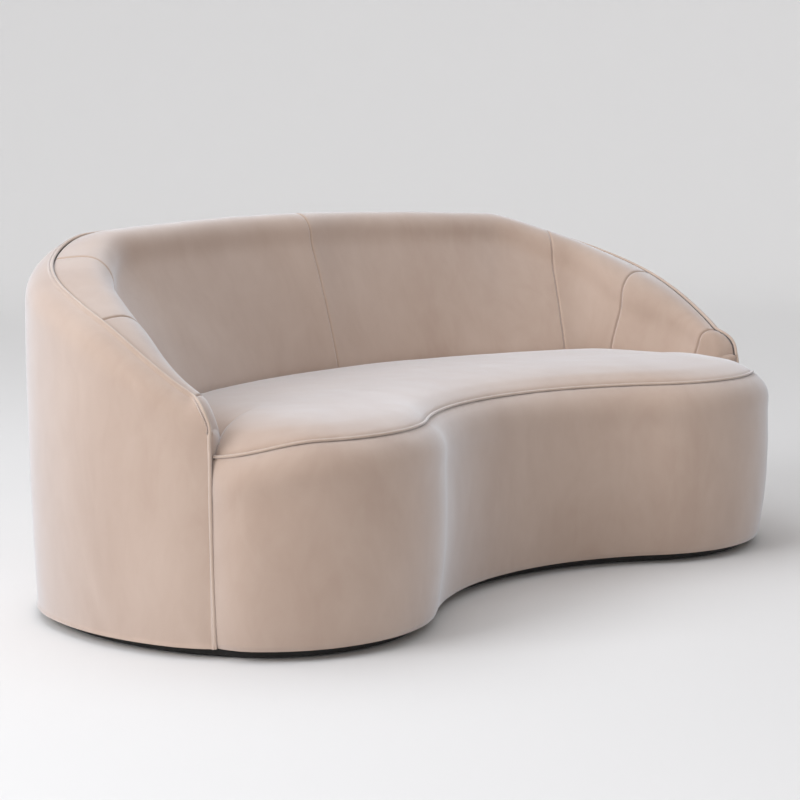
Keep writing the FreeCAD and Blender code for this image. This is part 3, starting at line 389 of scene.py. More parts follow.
def well_face(degrees):
    """Outline inside the arms and the back, from the tuck over the crest to the welt."""
    width = Section(RIGHT, degrees).width
    top = top_height(degrees)
    shrink = nose_round(degrees)
    turn = roll(degrees)
    foot = -width + shrink
    foot_z = foot_height(degrees)
    crest = -welt_inset(degrees) - crest_width(degrees)
    crest_z = top + crest_dome(degrees) - CREST_SHRINK * shrink
    rise = max(crest - ROLL_ACROSS * turn, foot + FOOT_SET_BACK)
    rise_z = max(crest_z - turn, foot_z + LEAST_WALL)
    edge = -welt_inset(degrees) - WELT / 2 + 1.0
    bulge = BULGE * (rise_z - foot_z) / BACK_WELT_HEIGHT
    lift = bulge * (rise - foot) / (rise_z - foot_z)
    return [
        (foot + TUCK_SET_BACK, TUCK_Z),
        (foot + FOOT_SET_BACK, (TUCK_Z + foot_z) / 2),
        (foot, foot_z),
        ((foot + rise) / 2 - bulge, (foot_z + rise_z) / 2 + lift),
        (rise, rise_z),
        (rise + ROLL_KNEE[0] * (crest - rise), rise_z + ROLL_KNEE[1] * (crest_z - rise_z)),
        (crest, crest_z),
        ((crest + edge) / 2, (crest_z + top) / 2 + CREST_EASE * (crest_z - top)),
        (edge, top),
    ]


def outer_face(degrees):
    """Outline outside the arms and the back, from the welt over the shoulder to the hem."""
    top = top_height(degrees)
    along = hem_length(degrees) - hem_length(NOSE)
    ease = max(0.0, 1 - along / ARM_END_EASE) ** 2
    draw = ARM_END_DRAW * ease
    start = -welt_inset(degrees) + WELT / 2 - 1.0
    start_z = top - WELT / 2 + 1.5
    side = SIDE_CROWN - SHOULDER_SET_IN - DRAWN_IN - draw
    side_z = top - (SHOULDER_DROP - SHOULDER_LIFT * ease)
    knee = (
        start + SHOULDER_KNEE[0] * (side - start),
        side_z + SHOULDER_KNEE[1] * (start_z - side_z),
    )
    return [
        (start, start_z),
        knee,
        (side, side_z),
        (SIDE_CROWN - DRAWN_IN - draw, (side_z + HEM_Z) / 2),
        (-HEM_DRAW - HEM_TURN_IN - draw, HEM_Z),
    ]


WAIST_LENGTH = WAIST.radius * math.radians(-WAIST.start)
LOBE_BEFORE = LOBE.radius * math.radians(-LOBE.start)
FRONT_LENGTH = WAIST_LENGTH + LOBE_BEFORE + hem_length(NOSE)


def front_point(length, outside, height):
    """Point of the front by its signed length from the middle and distance outside the hem."""
    side = LEFT if length < 0 else RIGHT
    reach = abs(length)
    if reach < WAIST_LENGTH:
        place = WAIST.at(-math.degrees(reach / WAIST.radius), outside)
    else:
        reach -= WAIST_LENGTH + LOBE_BEFORE
        if reach < 0:
            place = LOBE.at(math.degrees(reach / LOBE.radius), outside)
        else:
            place = hem_at(hem_turn(reach), outside)
    return (side * place.x, place.y, height)


def rim_height(length):
    """Height of the seat's edge welt, which dips towards the arms."""
    share = min(max((abs(length) - FRONT_LENGTH + RIM_DIP) / RIM_DIP, 0.0), 1.0)
    return SEAT_HEIGHT + (SEAT_END_HEIGHT - SEAT_HEIGHT) * share * share * (3 - 2 * share)


def front_face(length):
    """Outline down the front border, from the seat welt to the hem, drawn in beside the arm."""
    left_over = max(0.0, FRONT_LENGTH - abs(length))
    ease = max(0.0, 1 - left_over / ARM_END_EASE) ** 2
    corner = FRONT_END_ROUND
    dip = corner - math.sqrt(corner ** 2 - max(0.0, corner - left_over) ** 2)
    top = rim_height(length) - SEAT_WELT / 2 + 0.8 - dip
    start = -SEAT_WELT_INSET + SEAT_WELT / 4
    ends = outer_face(NOSE)
    full = [
        (start, top),
        (start + RIM_KNEE[0] * (FRONT_CROWN - start), top - RIM_KNEE[1] * RIM_ROLL),
        (FRONT_CROWN - 2, top - RIM_ROLL),
        (FRONT_CROWN, (top + HEM_Z) / 2),
        (0.0, HEM_Z),
    ]
    side = ends[2][0]
    belly = ends[3][0]
    drawn = [side - 6, side - 3, belly - 2, belly - 1, ends[4][0]]
    return [(across + (near - across) * ease, height) for (across, height), near in zip(full, drawn)]


# Meshes


def smooth_run(points, count):
    """The run of points as a smooth curve, sampled evenly along its length."""
    points = np.array(points, float)
    steps = np.linalg.norm(np.diff(points, axis=0), axis=1)
    knots = np.concatenate([[0.0], np.cumsum(steps)])
    slopes = np.zeros_like(points)
    rates = np.diff(points, axis=0) / steps[:, None]
    slopes[0] = rates[0]
    slopes[-1] = rates[-1]
    before = steps[:-1, None]
    after = steps[1:, None]
    slopes[1:-1] = (rates[:-1] * after + rates[1:] * before) / (before + after)

    def value(places):
        k = np.clip(np.searchsorted(knots, places, side="right") - 1, 0, len(steps) - 1)
        span = steps[k][:, None]
        t = ((places - knots[k]) / steps[k])[:, None]
        return (
            (1 + 2 * t) * (1 - t) ** 2 * points[k] + t * (1 - t) ** 2 * span * slopes[k]
            + t * t * (3 - 2 * t) * points[k + 1] + t * t * (t - 1) * span * slopes[k + 1]
        )

    fine = np.linspace(0.0, knots[-1], 40 * len(points))
    dense = value(fine)
    run = np.concatenate([[0.0], np.cumsum(np.linalg.norm(np.diff(dense, axis=0), axis=1))])
    wanted = np.linspace(0.0, 1.0, count) * run[-1]
    return value(np.interp(wanted, run, fine))


def edge_places(reach, middle):
    """Places along a length in mm, close together at both ends, where a seam sinks."""
    near = NEAR_SEAM * min(1.0, reach / (3 * NEAR_SEAM[-1]))
    inside = np.linspace(near[-1], reach - near[-1], middle + 2)[1:-1]
    return np.concatenate([near, inside, (reach - near)[::-1]])


def arc_between(first, middle, last, count=28):
    """Points of the arc through three points of a plane, or of the line where they are in line."""
    ax, ay = first
    bx, by = middle
    cx, cy = last
    cross = 2 * (ax * (by - cy) + bx * (cy - ay) + cx * (ay - by))
    shares = np.linspace(0.0, 1.0, count)[:, None]
    if abs(cross) < 1.0:
        return np.array(first) * (1 - shares) + np.array(last) * shares
    a = ax * ax + ay * ay
    b = bx * bx + by * by
    c = cx * cx + cy * cy
    centre_x = (a * (by - cy) + b * (cy - ay) + c * (ay - by)) / cross
    centre_y = (a * (cx - bx) + b * (ax - cx) + c * (bx - ax)) / cross
    centre = np.array([centre_x, centre_y])
    turns = [math.atan2(y - centre[1], x - centre[0]) for x, y in (first, middle, last)]
    sweep = (turns[2] - turns[0]) % (2 * math.pi)
    if (turns[1] - turns[0]) % (2 * math.pi) > sweep:
        sweep -= 2 * math.pi
    angles = turns[0] + sweep * shares[:, 0]
    radius = math.hypot(ax - centre[0], ay - centre[1])
    return centre + radius * np.stack([np.cos(angles), np.sin(angles)], axis=1)


def arc_run(points, middle):
    """Outline of arcs through every three points, eased where they meet, dense at its ends."""
    parts = []
    for k in range(0, len(points) - 2, 2):
        arc = arc_between(*points[k : k + 3])
        parts.append(arc[1:] if k else arc)
    dense = np.concatenate(parts)
    run = np.concatenate([[0.0], np.cumsum(np.linalg.norm(np.diff(dense, axis=0), axis=1))])
    even = np.linspace(0.0, run[-1], max(12, round(run[-1] / 2.0)))
    dense = np.stack([np.interp(even, run, dense[:, 0]), np.interp(even, run, dense[:, 1])], axis=1)
    for _ in range(SOFTENING):
        dense[1:-1] = dense[1:-1] / 2 + (dense[:-2] + dense[2:]) / 4
    run = np.concatenate([[0.0], np.cumsum(np.linalg.norm(np.diff(dense, axis=0), axis=1))])
    wanted = edge_places(run[-1], middle)
    return np.stack([np.interp(wanted, run, dense[:, 0]), np.interp(wanted, run, dense[:, 1])], axis=1)


def normals_of(grid):
    """Unit normals of a grid of points."""
    along = np.gradient(grid, axis=0)
    up = np.gradient(grid, axis=1)
    cross = np.cross(along, up)
    return cross / np.maximum(np.linalg.norm(cross, axis=2, keepdims=True), 1e-12)


def lengths_along(grid, axis):
    """Distances from the first row or column, measured on the grid."""
    steps = np.linalg.norm(np.diff(grid, axis=axis), axis=2)
    shape = list(steps.shape)
    shape[axis] = 1
    return np.concatenate([np.zeros(shape), np.cumsum(steps, axis=axis)], axis=axis)


def noise_at(points, scale, seed):
    """Smooth noise from -1 to 1 at points given in metres; scale is the size of its patches."""
    flat = points.reshape(-1, points.shape[-1])
    shift = Vector((seed * 7.31, seed * 3.17, seed * 5.43))
    found = [noise.noise(Vector(point) / scale + shift) for point in flat]
    return np.array(found).reshape(points.shape[:-1])


def puckers(along, away, pitch, reach, seed):
    """Small gathers that start at a seam and fade with the distance from it."""
    flat = np.stack([along / pitch, away / (4 * pitch), np.full_like(along, seed * 3.7)], axis=-1)
    fine = noise_at(flat, 1.0, seed)
    broad = noise_at(flat * np.array([0.31, 1.0, 1.0]), 1.0, seed + 11)
    return (0.65 * fine + 0.5 * broad) * np.exp(-away / reach)


def upholstered(grid, outward, edges, seed, soft=1.0):
    """A cover's grid with sunk seams, puckers at its edges and a soft, uneven filling.

    Edges gives, for first, last, low and high, how deep the cover sinks there, in metres.
    """
    normal = normals_of(grid) * outward
    along = lengths_along(grid, 0)
    up = lengths_along(grid, 1)
    away = {"first": along, "last": along[-1:, :] - along, "low": up, "high": up[:, -1:] - up}
    run = {"first": up, "last": up, "low": along, "high": along}
    lift = np.zeros(grid.shape[:2])
    calm = np.ones(grid.shape[:2])
    for k, (name, (depth, width, gather)) in enumerate(edges.items()):
        lift -= depth * np.exp(-(away[name] / width) ** 2)
        lift += gather * puckers(run[name], away[name], 0.011, 0.022, seed + k)
        calm *= 1 - 0.8 * np.exp(-(away[name] / 0.03) ** 2)
    lift += soft * 0.0011 * noise_at(grid, 0.17, seed + 20) * calm
    lift += soft * 0.0004 * noise_at(grid, 0.05, seed + 21) * calm
    return grid + normal * lift[..., None]


def closed_mesh(name, grid, outward, thickness):
    """Closed form from a grid and the same grid set in by its thickness."""
    rows, columns = grid.shape[:2]
    inner = grid - normals_of(grid) * outward * thickness
    points = np.concatenate([grid.reshape(-1, 3), inner.reshape(-1, 3)])
    index = np.arange(rows * columns).reshape(rows, columns)
    faces = []

    def patch(table, flip):
        quads = np.stack([table[:-1, :-1], table[1:, :-1], table[1:, 1:], table[:-1, 1:]], axis=-1)
        quads = quads.reshape(-1, 4)
        faces.extend((quads[:, ::-1] if flip else quads).tolist())

    patch(index, outward < 0)
    patch(index + rows * columns, outward > 0)
    rim = np.concatenate([index[:, 0], index[-1, 1:], index[-2::-1, -1], index[0, -2:0:-1]])
    rim = np.append(rim, rim[0])
    patch(np.stack([rim, rim + rows * columns], axis=1), outward > 0)
    mesh = bpy.data.meshes.new(name)
    mesh.from_pydata(points.tolist(), [], faces)
    mesh.update()
    return finished(name, mesh)


def finished(name, mesh):
    """Object for a mesh, smooth except at its sharp rims."""
    mesh.shade_smooth()
    mesh.set_sharp_from_angle(angle=math.radians(50))
    piece = bpy.data.objects.new(name, mesh)
    bpy.context.scene.collection.objects.link(piece)
    return piece


def panel_grid(side, first, last, face, pitch, columns):
    """Grid of points over one panel, in metres, from one heading to another."""
    start = hem_length(first)
    reach = hem_length(last) - start
    grid = []
    for place in edge_places(reach, max(3, round((reach - 25) / pitch))):
        turn = hem_turn(start + place)
        section = Section(side, turn)
        grid.append([section.point(*pair) for pair in arc_run(face(turn), columns)])
    return np.array(grid) * MM


def inner_panel(name, side, first, last, seed):
    """Padded panel inside the arms and the back, between two sewn seams and the welt."""
    grid = panel_grid(side, first, last, well_face, 5.5, 80)
    edges = {"first": SEAM, "last": SEAM, "low": (0.0, 0.02, 0.0004), "high": WELTED}
    grid = upholstered(grid, side * INNER_SIDE, edges, seed)
    return closed_mesh(name, grid, side * INNER_SIDE, PADDING)


def arm_front(name, side, seed):
    """Padded end of the arm: the last strip of its face, rounded into the front end."""
    start = hem_length(NOSE)
    reach = hem_length(ARM_FRONT_SEAM) - start
    rows = []
    for place in np.concatenate([NEAR_ARM_END, edge_places(reach, 6)[len(NEAR_SEAM) :]]):
        turn = hem_turn(start + place)
        section = Section(side, turn)
        rows.append([section.point(*pair) for pair in arc_run(well_face(turn), 80)])
    section = Section(side, NOSE)
    inside = arc_run(well_face(NOSE), 80)
    outer = outer_face(NOSE)
    shoulder, shoulder_z = outer[2]
    wall = [(shoulder - 1, TUCK_Z), (shoulder - 1, (TUCK_Z + shoulder_z) / 2)]
    outside = arc_run(wall + outer[2::-1], 80)
    end = []
    for share in np.linspace(1.0, 0.0, 24)[:-1]:
        forward = nose_forward(side) * (NOSE_BULGE * math.sin(math.pi * share) ** 0.7)
        row = []
        for near, far in zip(inside, outside):
            place = near + (far - near) * share
            row.append(tuple(Vector(section.point(place[0], place[1])) + forward))
        end.append(row)
    grid = np.array(end + rows) * MM
    edges = {
        "last": SEAM,
        "first": (0.001, 0.004, 0.0004),
        "low": (0.0, 0.02, 0.0003),
        "high": WELTED,
    }
    grid = upholstered(grid, side * INNER_SIDE, edges, seed)
    return closed_mesh(name, grid, side * INNER_SIDE, PADDING)


def whole_run(face, pitch, columns):
    """Grid round both arms and the back, from the right-hand nose to the left-hand one."""
    right = panel_grid(RIGHT, NOSE, HALF_TURN, face, pitch, columns)[:-8]
    left = panel_grid(LEFT, NOSE, HALF_TURN, face, pitch, columns)[:-8]
    middle = (right[-1] + left[-1]) / 2
    middle[:, 0] = 0.0
    return np.concatenate([right, middle[None], left[::-1]])


def outer_cover():
    """Cover outside both arms and the back, in one length from welt to hem."""
    grid = whole_run(outer_face, 6.5, 110)
    edges = {"first": WELTED, "last": WELTED, "low": WELTED, "high": HEMMED}
    grid = upholstered(grid, 1, edges, 31, soft=1.1)
    return closed_mesh("outside_velvet", grid, 1, PADDING)


def front_border():
    """Cover of the front below the seat's welt, from arm to arm."""
    reach = 2 * FRONT_LENGTH + 1.0
    grid = []
    for place in edge_places(reach, round(reach / 6.0)):
        length = place - reach / 2
        grid.append([front_point(length, *pair) for pair in arc_run(front_face(length), 60)])
    edges = {"first": WELTED, "last": WELTED, "low": (0.0012, 0.004, 0.0008), "high": HEMMED}
    grid = upholstered(np.array(grid) * MM, -1, edges, 41, soft=1.1)
    return closed_mesh("front_velvet", grid, -1, PADDING)


# Seat


def seat_outline(inset, gap):
    """Closed outline of the seat from the middle of its front, with the height of its rim."""
    across = heading(NOSE)
    forward = nose_forward(RIGHT).xy * (gap + CLEAR)
    corner = hem_at(NOSE) - across * inset + forward
    points = []
    last = FRONT_LENGTH - SEAT_CORNER - gap
    count = 60
    for k in range(count + 1):
        length = last * k / count
        points.append(front_point(length, -inset, rim_height(length)))
    after = corner - across * SEAT_CORNER
    start = Vector(points[-1][:2])
    for k in range(1, 5):
        t = k / 5
        place = start * (1 - t) ** 2 + corner * 2 * t * (1 - t) + after * t * t
        points.append((place.x, place.y, SEAT_END_HEIGHT))
    inner_start = well_square_to(NOSE)
    inner = well_at(inner_start) + forward
    inner_gap = inner - across * gap
    for k in range(5):
        t = k / 4
        place = after + (inner_gap + across * (SEAT_CORNER / 2) - after) * t
        points.append((place.x, place.y, SEAT_END_HEIGHT + 2 * t))
    length = inner_start + SEAT_CORNER
    begin = well_at(length, -gap)
    start = Vector(points[-1][:2])
    for k in range(1, 4):
        t = k / 4
        place = start * (1 - t) ** 2 + inner_gap * 2 * t * (1 - t) + begin * t * t
        points.append((place.x, place.y, SEAT_END_HEIGHT + 2 + 6 * t))
    count = 70
    for k in range(count + 1):
        share = k / count
        rise = min(1.0, share / SEAT_BACK_SHARE)
        rise = rise * rise * (3 - 2 * rise)
        place = well_at(length + (WELL_LENGTH - length) * share, -gap)
        points.append((place.x, place.y, NOSE_FOOT + (SEAT_REAR_HEIGHT - NOSE_FOOT) * rise))
    half = smooth_run(points, 230)
    mirrored = half[-2:0:-1] * np.array([-1, 1, 1])
    return np.concatenate([half, mirrored])


def seat_cushion():
    """Crowned seat, from its rim towards a line along its middle, with gathers along the welt."""
    rim = seat_outline(SEAT_WELT_INSET + SEAT_WELT / 2 - 0.6, 1.0)
    count = len(rim)
    middle_y = (WAIST.at(0.0).y + WELL[-1].at(HALF_TURN).y) / 2
    x = np.sign(rim[:, 0]) * np.minimum(np.abs(rim[:, 0]) * 0.85, LOBE.centre.x)
    y = middle_y + (LOBE.centre.y - middle_y) * (x / LOBE.centre.x) ** 2
    spine = np.stack([x, y], axis=1)
    shares = np.concatenate([[0.0, 0.004, 0.01, 0.018, 0.028], np.linspace(0.04, 0.94, 60)])
    crown = [(0, 0), (0.03, 0.2), (0.08, 0.4), (0.2, 0.7), (0.4, 0.9), (0.7, 1.0), (1.0, 1.0)]
    crown = smooth_run(crown, 400)
    rings = []
    for share in shares:
        lift = np.interp(share, crown[:, 0], crown[:, 1])
        plan = rim[:, :2] + (spine - rim[:, :2]) * share
        height = rim[:, 2] + (SEAT_CROWN - rim[:, 2]) * lift
        rings.append(np.column_stack([plan, height]))
    grid = np.array(rings).transpose(1, 0, 2) * MM
    closed = np.concatenate([grid[-3:], grid, grid[:3]])
    edges = {"low": (0.0008, 0.004, 0.0009)}
    top = upholstered(closed, 1, edges, 51, soft=1.3)[3:-3]
    depth = len(shares)
    floor = grid[:, 0].copy()
    floor[:, 2] -= 0.012
    points = np.concatenate([top.reshape(-1, 3), floor])
    index = np.arange(count * depth).reshape(count, depth)
    ring = np.vstack([index, index[:1]])
    quads = np.stack([ring[:-1, :-1], ring[1:, :-1], ring[1:, 1:], ring[:-1, 1:]], axis=-1)
    faces = quads.reshape(-1, 4).tolist()
    low = np.arange(count) + count * depth
    for k in range(count):
        after = (k + 1) % count
        faces.append([low[k], low[after], index[after, 0], index[k, 0]])
    mesh = bpy.data.meshes.new("seat_velvet")
    mesh.from_pydata(points.tolist(), [], faces)
    work = bmesh.new()
    work.from_mesh(mesh)
    work.verts.ensure_lookup_table()
    for loop in (index[:, -1], low[::-1]):
        outline = []
        for k in range(count):
            pair = (work.verts[int(loop[k])], work.verts[int(loop[(k + 1) % count])])
            outline.append(work.edges.get(pair) or work.edges.new(pair))
        bmesh.ops.triangle_fill(work, edges=outline, use_beauty=True)
    bmesh.ops.recalc_face_normals(work, faces=work.faces)
    work.to_mesh(mesh)
    work.free()
    return finished("seat_velvet", mesh)


# Welts


def cord_mesh(name, points, diameter, seed):
    """Corded welt along a smooth line: a tube with small wrinkles in its cover."""
    total = np.linalg.norm(np.diff(np.array(points), axis=0), axis=1).sum()
    line = smooth_run(points, int(total / 4.0)) * MM
    tangents = np.gradient(line, axis=0)
    tangents /= np.linalg.norm(tangents, axis=1, keepdims=True)
    aside = np.array([1.0, 0.0, 0.0])
    around = 14
    turns = np.linspace(0, 2 * math.pi, around, endpoint=False)
    rings = []
    for point, along in zip(line, tangents):
        aside = aside - along * aside.dot(along)
        aside /= np.linalg.norm(aside)
        other = np.cross(along, aside)
        spokes = [aside * math.cos(turn) + other * math.sin(turn) for turn in turns]
        rings.append([point + spoke * diameter / 2 * MM for spoke in spokes])
    rings = np.array(rings)
    swell = 1 + 0.05 * noise_at(rings, 0.006, seed) + 0.03 * noise_at(rings, 0.0025, seed + 1)
    rings = line[:, None, :] + (rings - line[:, None, :]) * swell[..., None]
    count = len(rings)
    index = np.arange(count * around).reshape(count, around)
    ring = np.hstack([index, index[:, :1]])
    quads = np.stack([ring[:-1, :-1], ring[:-1, 1:], ring[1:, 1:], ring[1:, :-1]], axis=-1)
    faces = quads.reshape(-1, 4).tolist() + [index[0, ::-1].tolist(), index[-1].tolist()]
    mesh = bpy.data.meshes.new(name)
    mesh.from_pydata(rings.reshape(-1, 3).tolist(), [], faces)
    mesh.update()
    return finished(name, mesh)


def body_welt_line(side):
    """Middle of the welt: up the arm's front end, then along its top to the middle of the back."""
    raised = WELT / 2 - 1.0
    proud = 1.8
    start = hem_length(NOSE)
    section = Section(side, hem_turn(start - proud))
    up = arc_run(outer_face(NOSE), 10)[::-1][:-6:2]
    points = [section.point(u + raised, z) for u, z in up]
    radius = ARM_END_ROUND + proud
    for turned in range(8, 86, 11):
        level = math.cos(math.radians(turned))
        rise = math.sin(math.radians(turned))
        turn = hem_turn(start + ARM_END_ROUND - radius * level)
        height = welt_height(turn) - ARM_END_ROUND + radius * rise
        points.append(Section(side, turn).point(-welt_inset(turn) + 1.5 * level, height))
    reach = hem_length(HALF_TURN) - start
    for place in np.linspace(46.0, reach, 70):
        turn = hem_turn(start + place)
        points.append(Section(side, turn).point(-welt_inset(turn), top_height(turn) + 1.6))
    return points


def body_welt():
    """Welt of the arms and the back, in one length."""
    line = body_welt_line(RIGHT) + body_welt_line(LEFT)[-2::-1]
    return cord_mesh("body_welt_cord", line, WELT, 61)


def seat_welt():
    """Welt along the seat's front edge."""
    reach = FRONT_LENGTH - SEAT_WELT
    line = []
    for k in range(121):
        length = reach * (k / 60 - 1)
        line.append(front_point(length, -SEAT_WELT_INSET, rim_height(length) + 0.3))
    return cord_mesh("seat_welt_cord", line, SEAT_WELT, 71)


# Materials


def material(name, build):
    """Node material filled in by a function of its tree and its shader."""
    made = bpy.data.materials.new(name)
    made.use_nodes = True
    build(made.node_tree, made.node_tree.nodes["Principled BSDF"])
    return made


def node(tree, kind, **values):
    """New node with values for its sockets and its settings."""
    made = tree.nodes.new(kind)
    for key, value in values.items():
        if key in made.inputs:
            made.inputs[key].default_value = value
        else:
            setattr(made, key, value)
    return made


def ramp(tree, source, stops):
    """Colour ramp on a value, from pairs of place and colour."""
    made = tree.nodes.new("ShaderNodeValToRGB")
    table = made.color_ramp.elements
    while len(table) < len(stops):
        table.new(0.5)
    for entry, (place, colour) in zip(table, stops):
        entry.position = place
        entry.color = (*colour, 1.0)
    tree.links.new(source, made.inputs["Fac"])
    return made.outputs["Color"]


def velvet(dark, light, grain_size, nap):
    """Short-pile velvet: brushed patches in its nap, a fine pile and a soft sheen."""

    def build(tree, shader):
        place = node(tree, "ShaderNodeTexCoord").outputs["Object"]
        stretch = node(tree, "ShaderNodeMapping", Scale=(1.0, 1.0, 0.45))
        tree.links.new(place, stretch.inputs["Vector"])
        broad = node(tree, "ShaderNodeTexNoise", Scale=4.5, Detail=4.0, Roughness=0.62, Distortion=0.6)
        tree.links.new(stretch.outputs["Vector"], broad.inputs["Vector"])
        streaks = node(
            tree, "ShaderNodeTexNoise", Scale=19.0, Detail=3.0, Roughness=0.55, Distortion=1.1
        )
        tree.links.new(stretch.outputs["Vector"], streaks.inputs["Vector"])
        pile = node(tree, "ShaderNodeTexNoise", Scale=grain_size, Detail=2.0, Roughness=0.6)
        tree.links.new(place, pile.inputs["Vector"])
        join = node(tree, "ShaderNodeMath", operation="MULTIPLY_ADD")
        tree.links.new(streaks.outputs["Fac"], join.inputs[0])
        join.inputs[1].default_value = 0.35
        tree.links.new(broad.outputs["Fac"], join.inputs[2])
        fine = node(tree, "ShaderNodeMath", operation="MULTIPLY_ADD")
        tree.links.new(pile.outputs["Fac"], fine.inputs[0])
        fine.inputs[1].default_value = 0.12
        tree.links.new(join.outputs[0], fine.inputs[2])
        middle = 0.735
        colour = ramp(tree, fine.outputs[0], [(middle - nap, dark), (middle + nap, light)])
        tree.links.new(colour, shader.inputs["Base Color"])
        bump = node(tree, "ShaderNodeBump", Strength=0.35, Distance=0.0006)
        tree.links.new(pile.outputs["Fac"], bump.inputs["Height"])
        tree.links.new(bump.outputs["Normal"], shader.inputs["Normal"])
        shader.inputs["Roughness"].default_value = 0.92
        shader.inputs["Specular IOR Level"].default_value = 0.18
        shader.inputs["Sheen Weight"].default_value = 1.0
        shader.inputs["Sheen Roughness"].default_value = 0.5
        shader.inputs["Sheen Tint"].default_value = (0.88, 0.93, 1.0, 1.0)

    return build


def wood(dark, light, roughness):
    """Sawn wood with grain along X and open pores."""

    def build(tree, shader):
        place = node(tree, "ShaderNodeTexCoord").outputs["Object"]
        stretch = node(tree, "ShaderNodeMapping", Scale=(1.5, 14.0, 14.0))
        tree.links.new(place, stretch.inputs["Vector"])
        grain = node(tree, "ShaderNodeTexNoise", Scale=6.0, Detail=6.0, Roughness=0.65, Distortion=0.8)
        tree.links.new(stretch.outputs["Vector"], grain.inputs["Vector"])
        colour = ramp(tree, grain.outputs["Fac"], [(0.35, dark), (0.65, light)])
        tree.links.new(colour, shader.inputs["Base Color"])
        bump = node(tree, "ShaderNodeBump", Strength=0.3, Distance=0.0005)
        tree.links.new(grain.outputs["Fac"], bump.inputs["Height"])
        tree.links.new(bump.outputs["Normal"], shader.inputs["Normal"])
        shader.inputs["Roughness"].default_value = roughness

    return build


def grainy(dark, light, size, roughness, strength):
    """Fibre, foam, felt, cloth or moulded plastic: a small irregular grain."""

    def build(tree, shader):
        place = node(tree, "ShaderNodeTexCoord").outputs["Object"]
        grain = node(tree, "ShaderNodeTexNoise", Scale=size, Detail=4.0, Roughness=0.7)
        tree.links.new(place, grain.inputs["Vector"])
        colour = ramp(tree, grain.outputs["Fac"], [(0.35, dark), (0.65, light)])
        tree.links.new(colour, shader.inputs["Base Color"])
        bump = node(tree, "ShaderNodeBump", Strength=strength, Distance=0.0008)
        tree.links.new(grain.outputs["Fac"], bump.inputs["Height"])
        tree.links.new(bump.outputs["Normal"], shader.inputs["Normal"])
        shader.inputs["Roughness"].default_value = roughness

    return build


def linear(red, green, blue):
    """Linear colour from plain screen values, 0 to 255."""
    shares = (red / 255, green / 255, blue / 255)
    return tuple(c / 12.92 if c <= 0.04045 else ((c + 0.055) / 1.055) ** 2.4 for c in shares)


MATERIALS = {
    "velvet": material("velvet", velvet(linear(179, 155, 139), linear(190, 168, 153), 900.0, 0.2)),
    # The welts' velvet is the covers' velvet painted lighter: a painted highlight on the rounded cords.
    "piping": material("piping", velvet(linear(188, 166, 150), linear(200, 180, 165), 1300.0, 0.2)),
    "foam": material("foam", grainy(linear(222, 214, 186), linear(236, 230, 206), 420.0, 0.95, 0.6)),
    "fibre": material("fibre", grainy(linear(226, 226, 222), linear(246, 246, 242), 160.0, 0.98, 0.8)),
    "felt": material("felt", grainy(linear(92, 90, 86), linear(136, 132, 126), 240.0, 0.98, 0.8)),
    "webbing": material("webbing", grainy(linear(72, 60, 46), linear(108, 92, 70), 620.0, 0.85, 0.7)),
    "dust_cloth": material("dust_cloth", grainy(linear(14, 14, 14), linear(30, 30, 30), 900.0, 0.95, 0.5)),
    "bent_board": material("bent_board", grainy(linear(120, 92, 62), linear(152, 120, 84), 300.0, 0.8, 0.3)),
    "plywood": material("plywood", wood(linear(186, 150, 104), linear(214, 182, 136), 0.65)),
    "softwood": material("softwood", wood(linear(204, 166, 112), linear(230, 198, 148), 0.6)),
    "plinth": material("plinth", wood(linear(16, 15, 14), linear(30, 28, 26), 0.55)),
    "glide": material("glide", grainy(linear(18, 18, 18), linear(28, 28, 28), 700.0, 0.45, 0.2)),
}


def dress(piece, slot, nodes=()):
    """Material, body and replaced nodes of one piece."""
    piece.data.materials.append(MATERIALS[slot])
    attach(piece, "root")
    if nodes:
        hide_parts(*nodes)
    return piece


for entry in frame["record"]["subparts"]:
    item = frame["nodes"][entry["node"]]
    for place in item.material_slots:
        place.material = MATERIALS[entry["material_slot"]]

dress(outer_cover(), "velvet", ["outer_cover", "outer_padding"])
dress(front_border(), "velvet", ["front_cover", "front_padding"])
dress(seat_cushion(), "velvet", ["seat_cover", "seat_wrap"])
for side, name in ((LEFT, "left"), (RIGHT, "right")):
    back = inner_panel("back_velvet_%s" % name, side, CORNER_SEAM, HALF_TURN, 3 + side)
    dress(back, "velvet", ["back_cover_%s" % name, "back_foam"])
    corner = inner_panel("side_back_velvet_%s" % name, side, ARM_SEAM, CORNER_SEAM, 7 + side)
    dress(corner, "velvet", ["side_back_cover_%s" % name])
    arm = inner_panel("arm_velvet_%s" % name, side, ARM_FRONT_SEAM, ARM_SEAM, 11 + side)
    dress(arm, "velvet", ["arm_cover_%s" % name, "arm_foam_%s" % name])
    end = arm_front("arm_front_velvet_%s" % name, side, 15 + side)
    dress(end, "velvet", ["arm_front_cover_%s" % name])
dress(body_welt(), "piping", ["body_welt"])
dress(seat_welt(), "piping", ["seat_welt"])


# Floor, light and camera


def plain(name, colour, roughness):
    """Plain matt material."""
    made = bpy.data.materials.new(name)
    made.use_nodes = True
    shader = made.node_tree.nodes["Principled BSDF"]
    shader.inputs["Base Color"].default_value = (*colour, 1.0)
    shader.inputs["Roughness"].default_value = roughness
    shader.inputs["Specular IOR Level"].default_value = 0.1
    return made


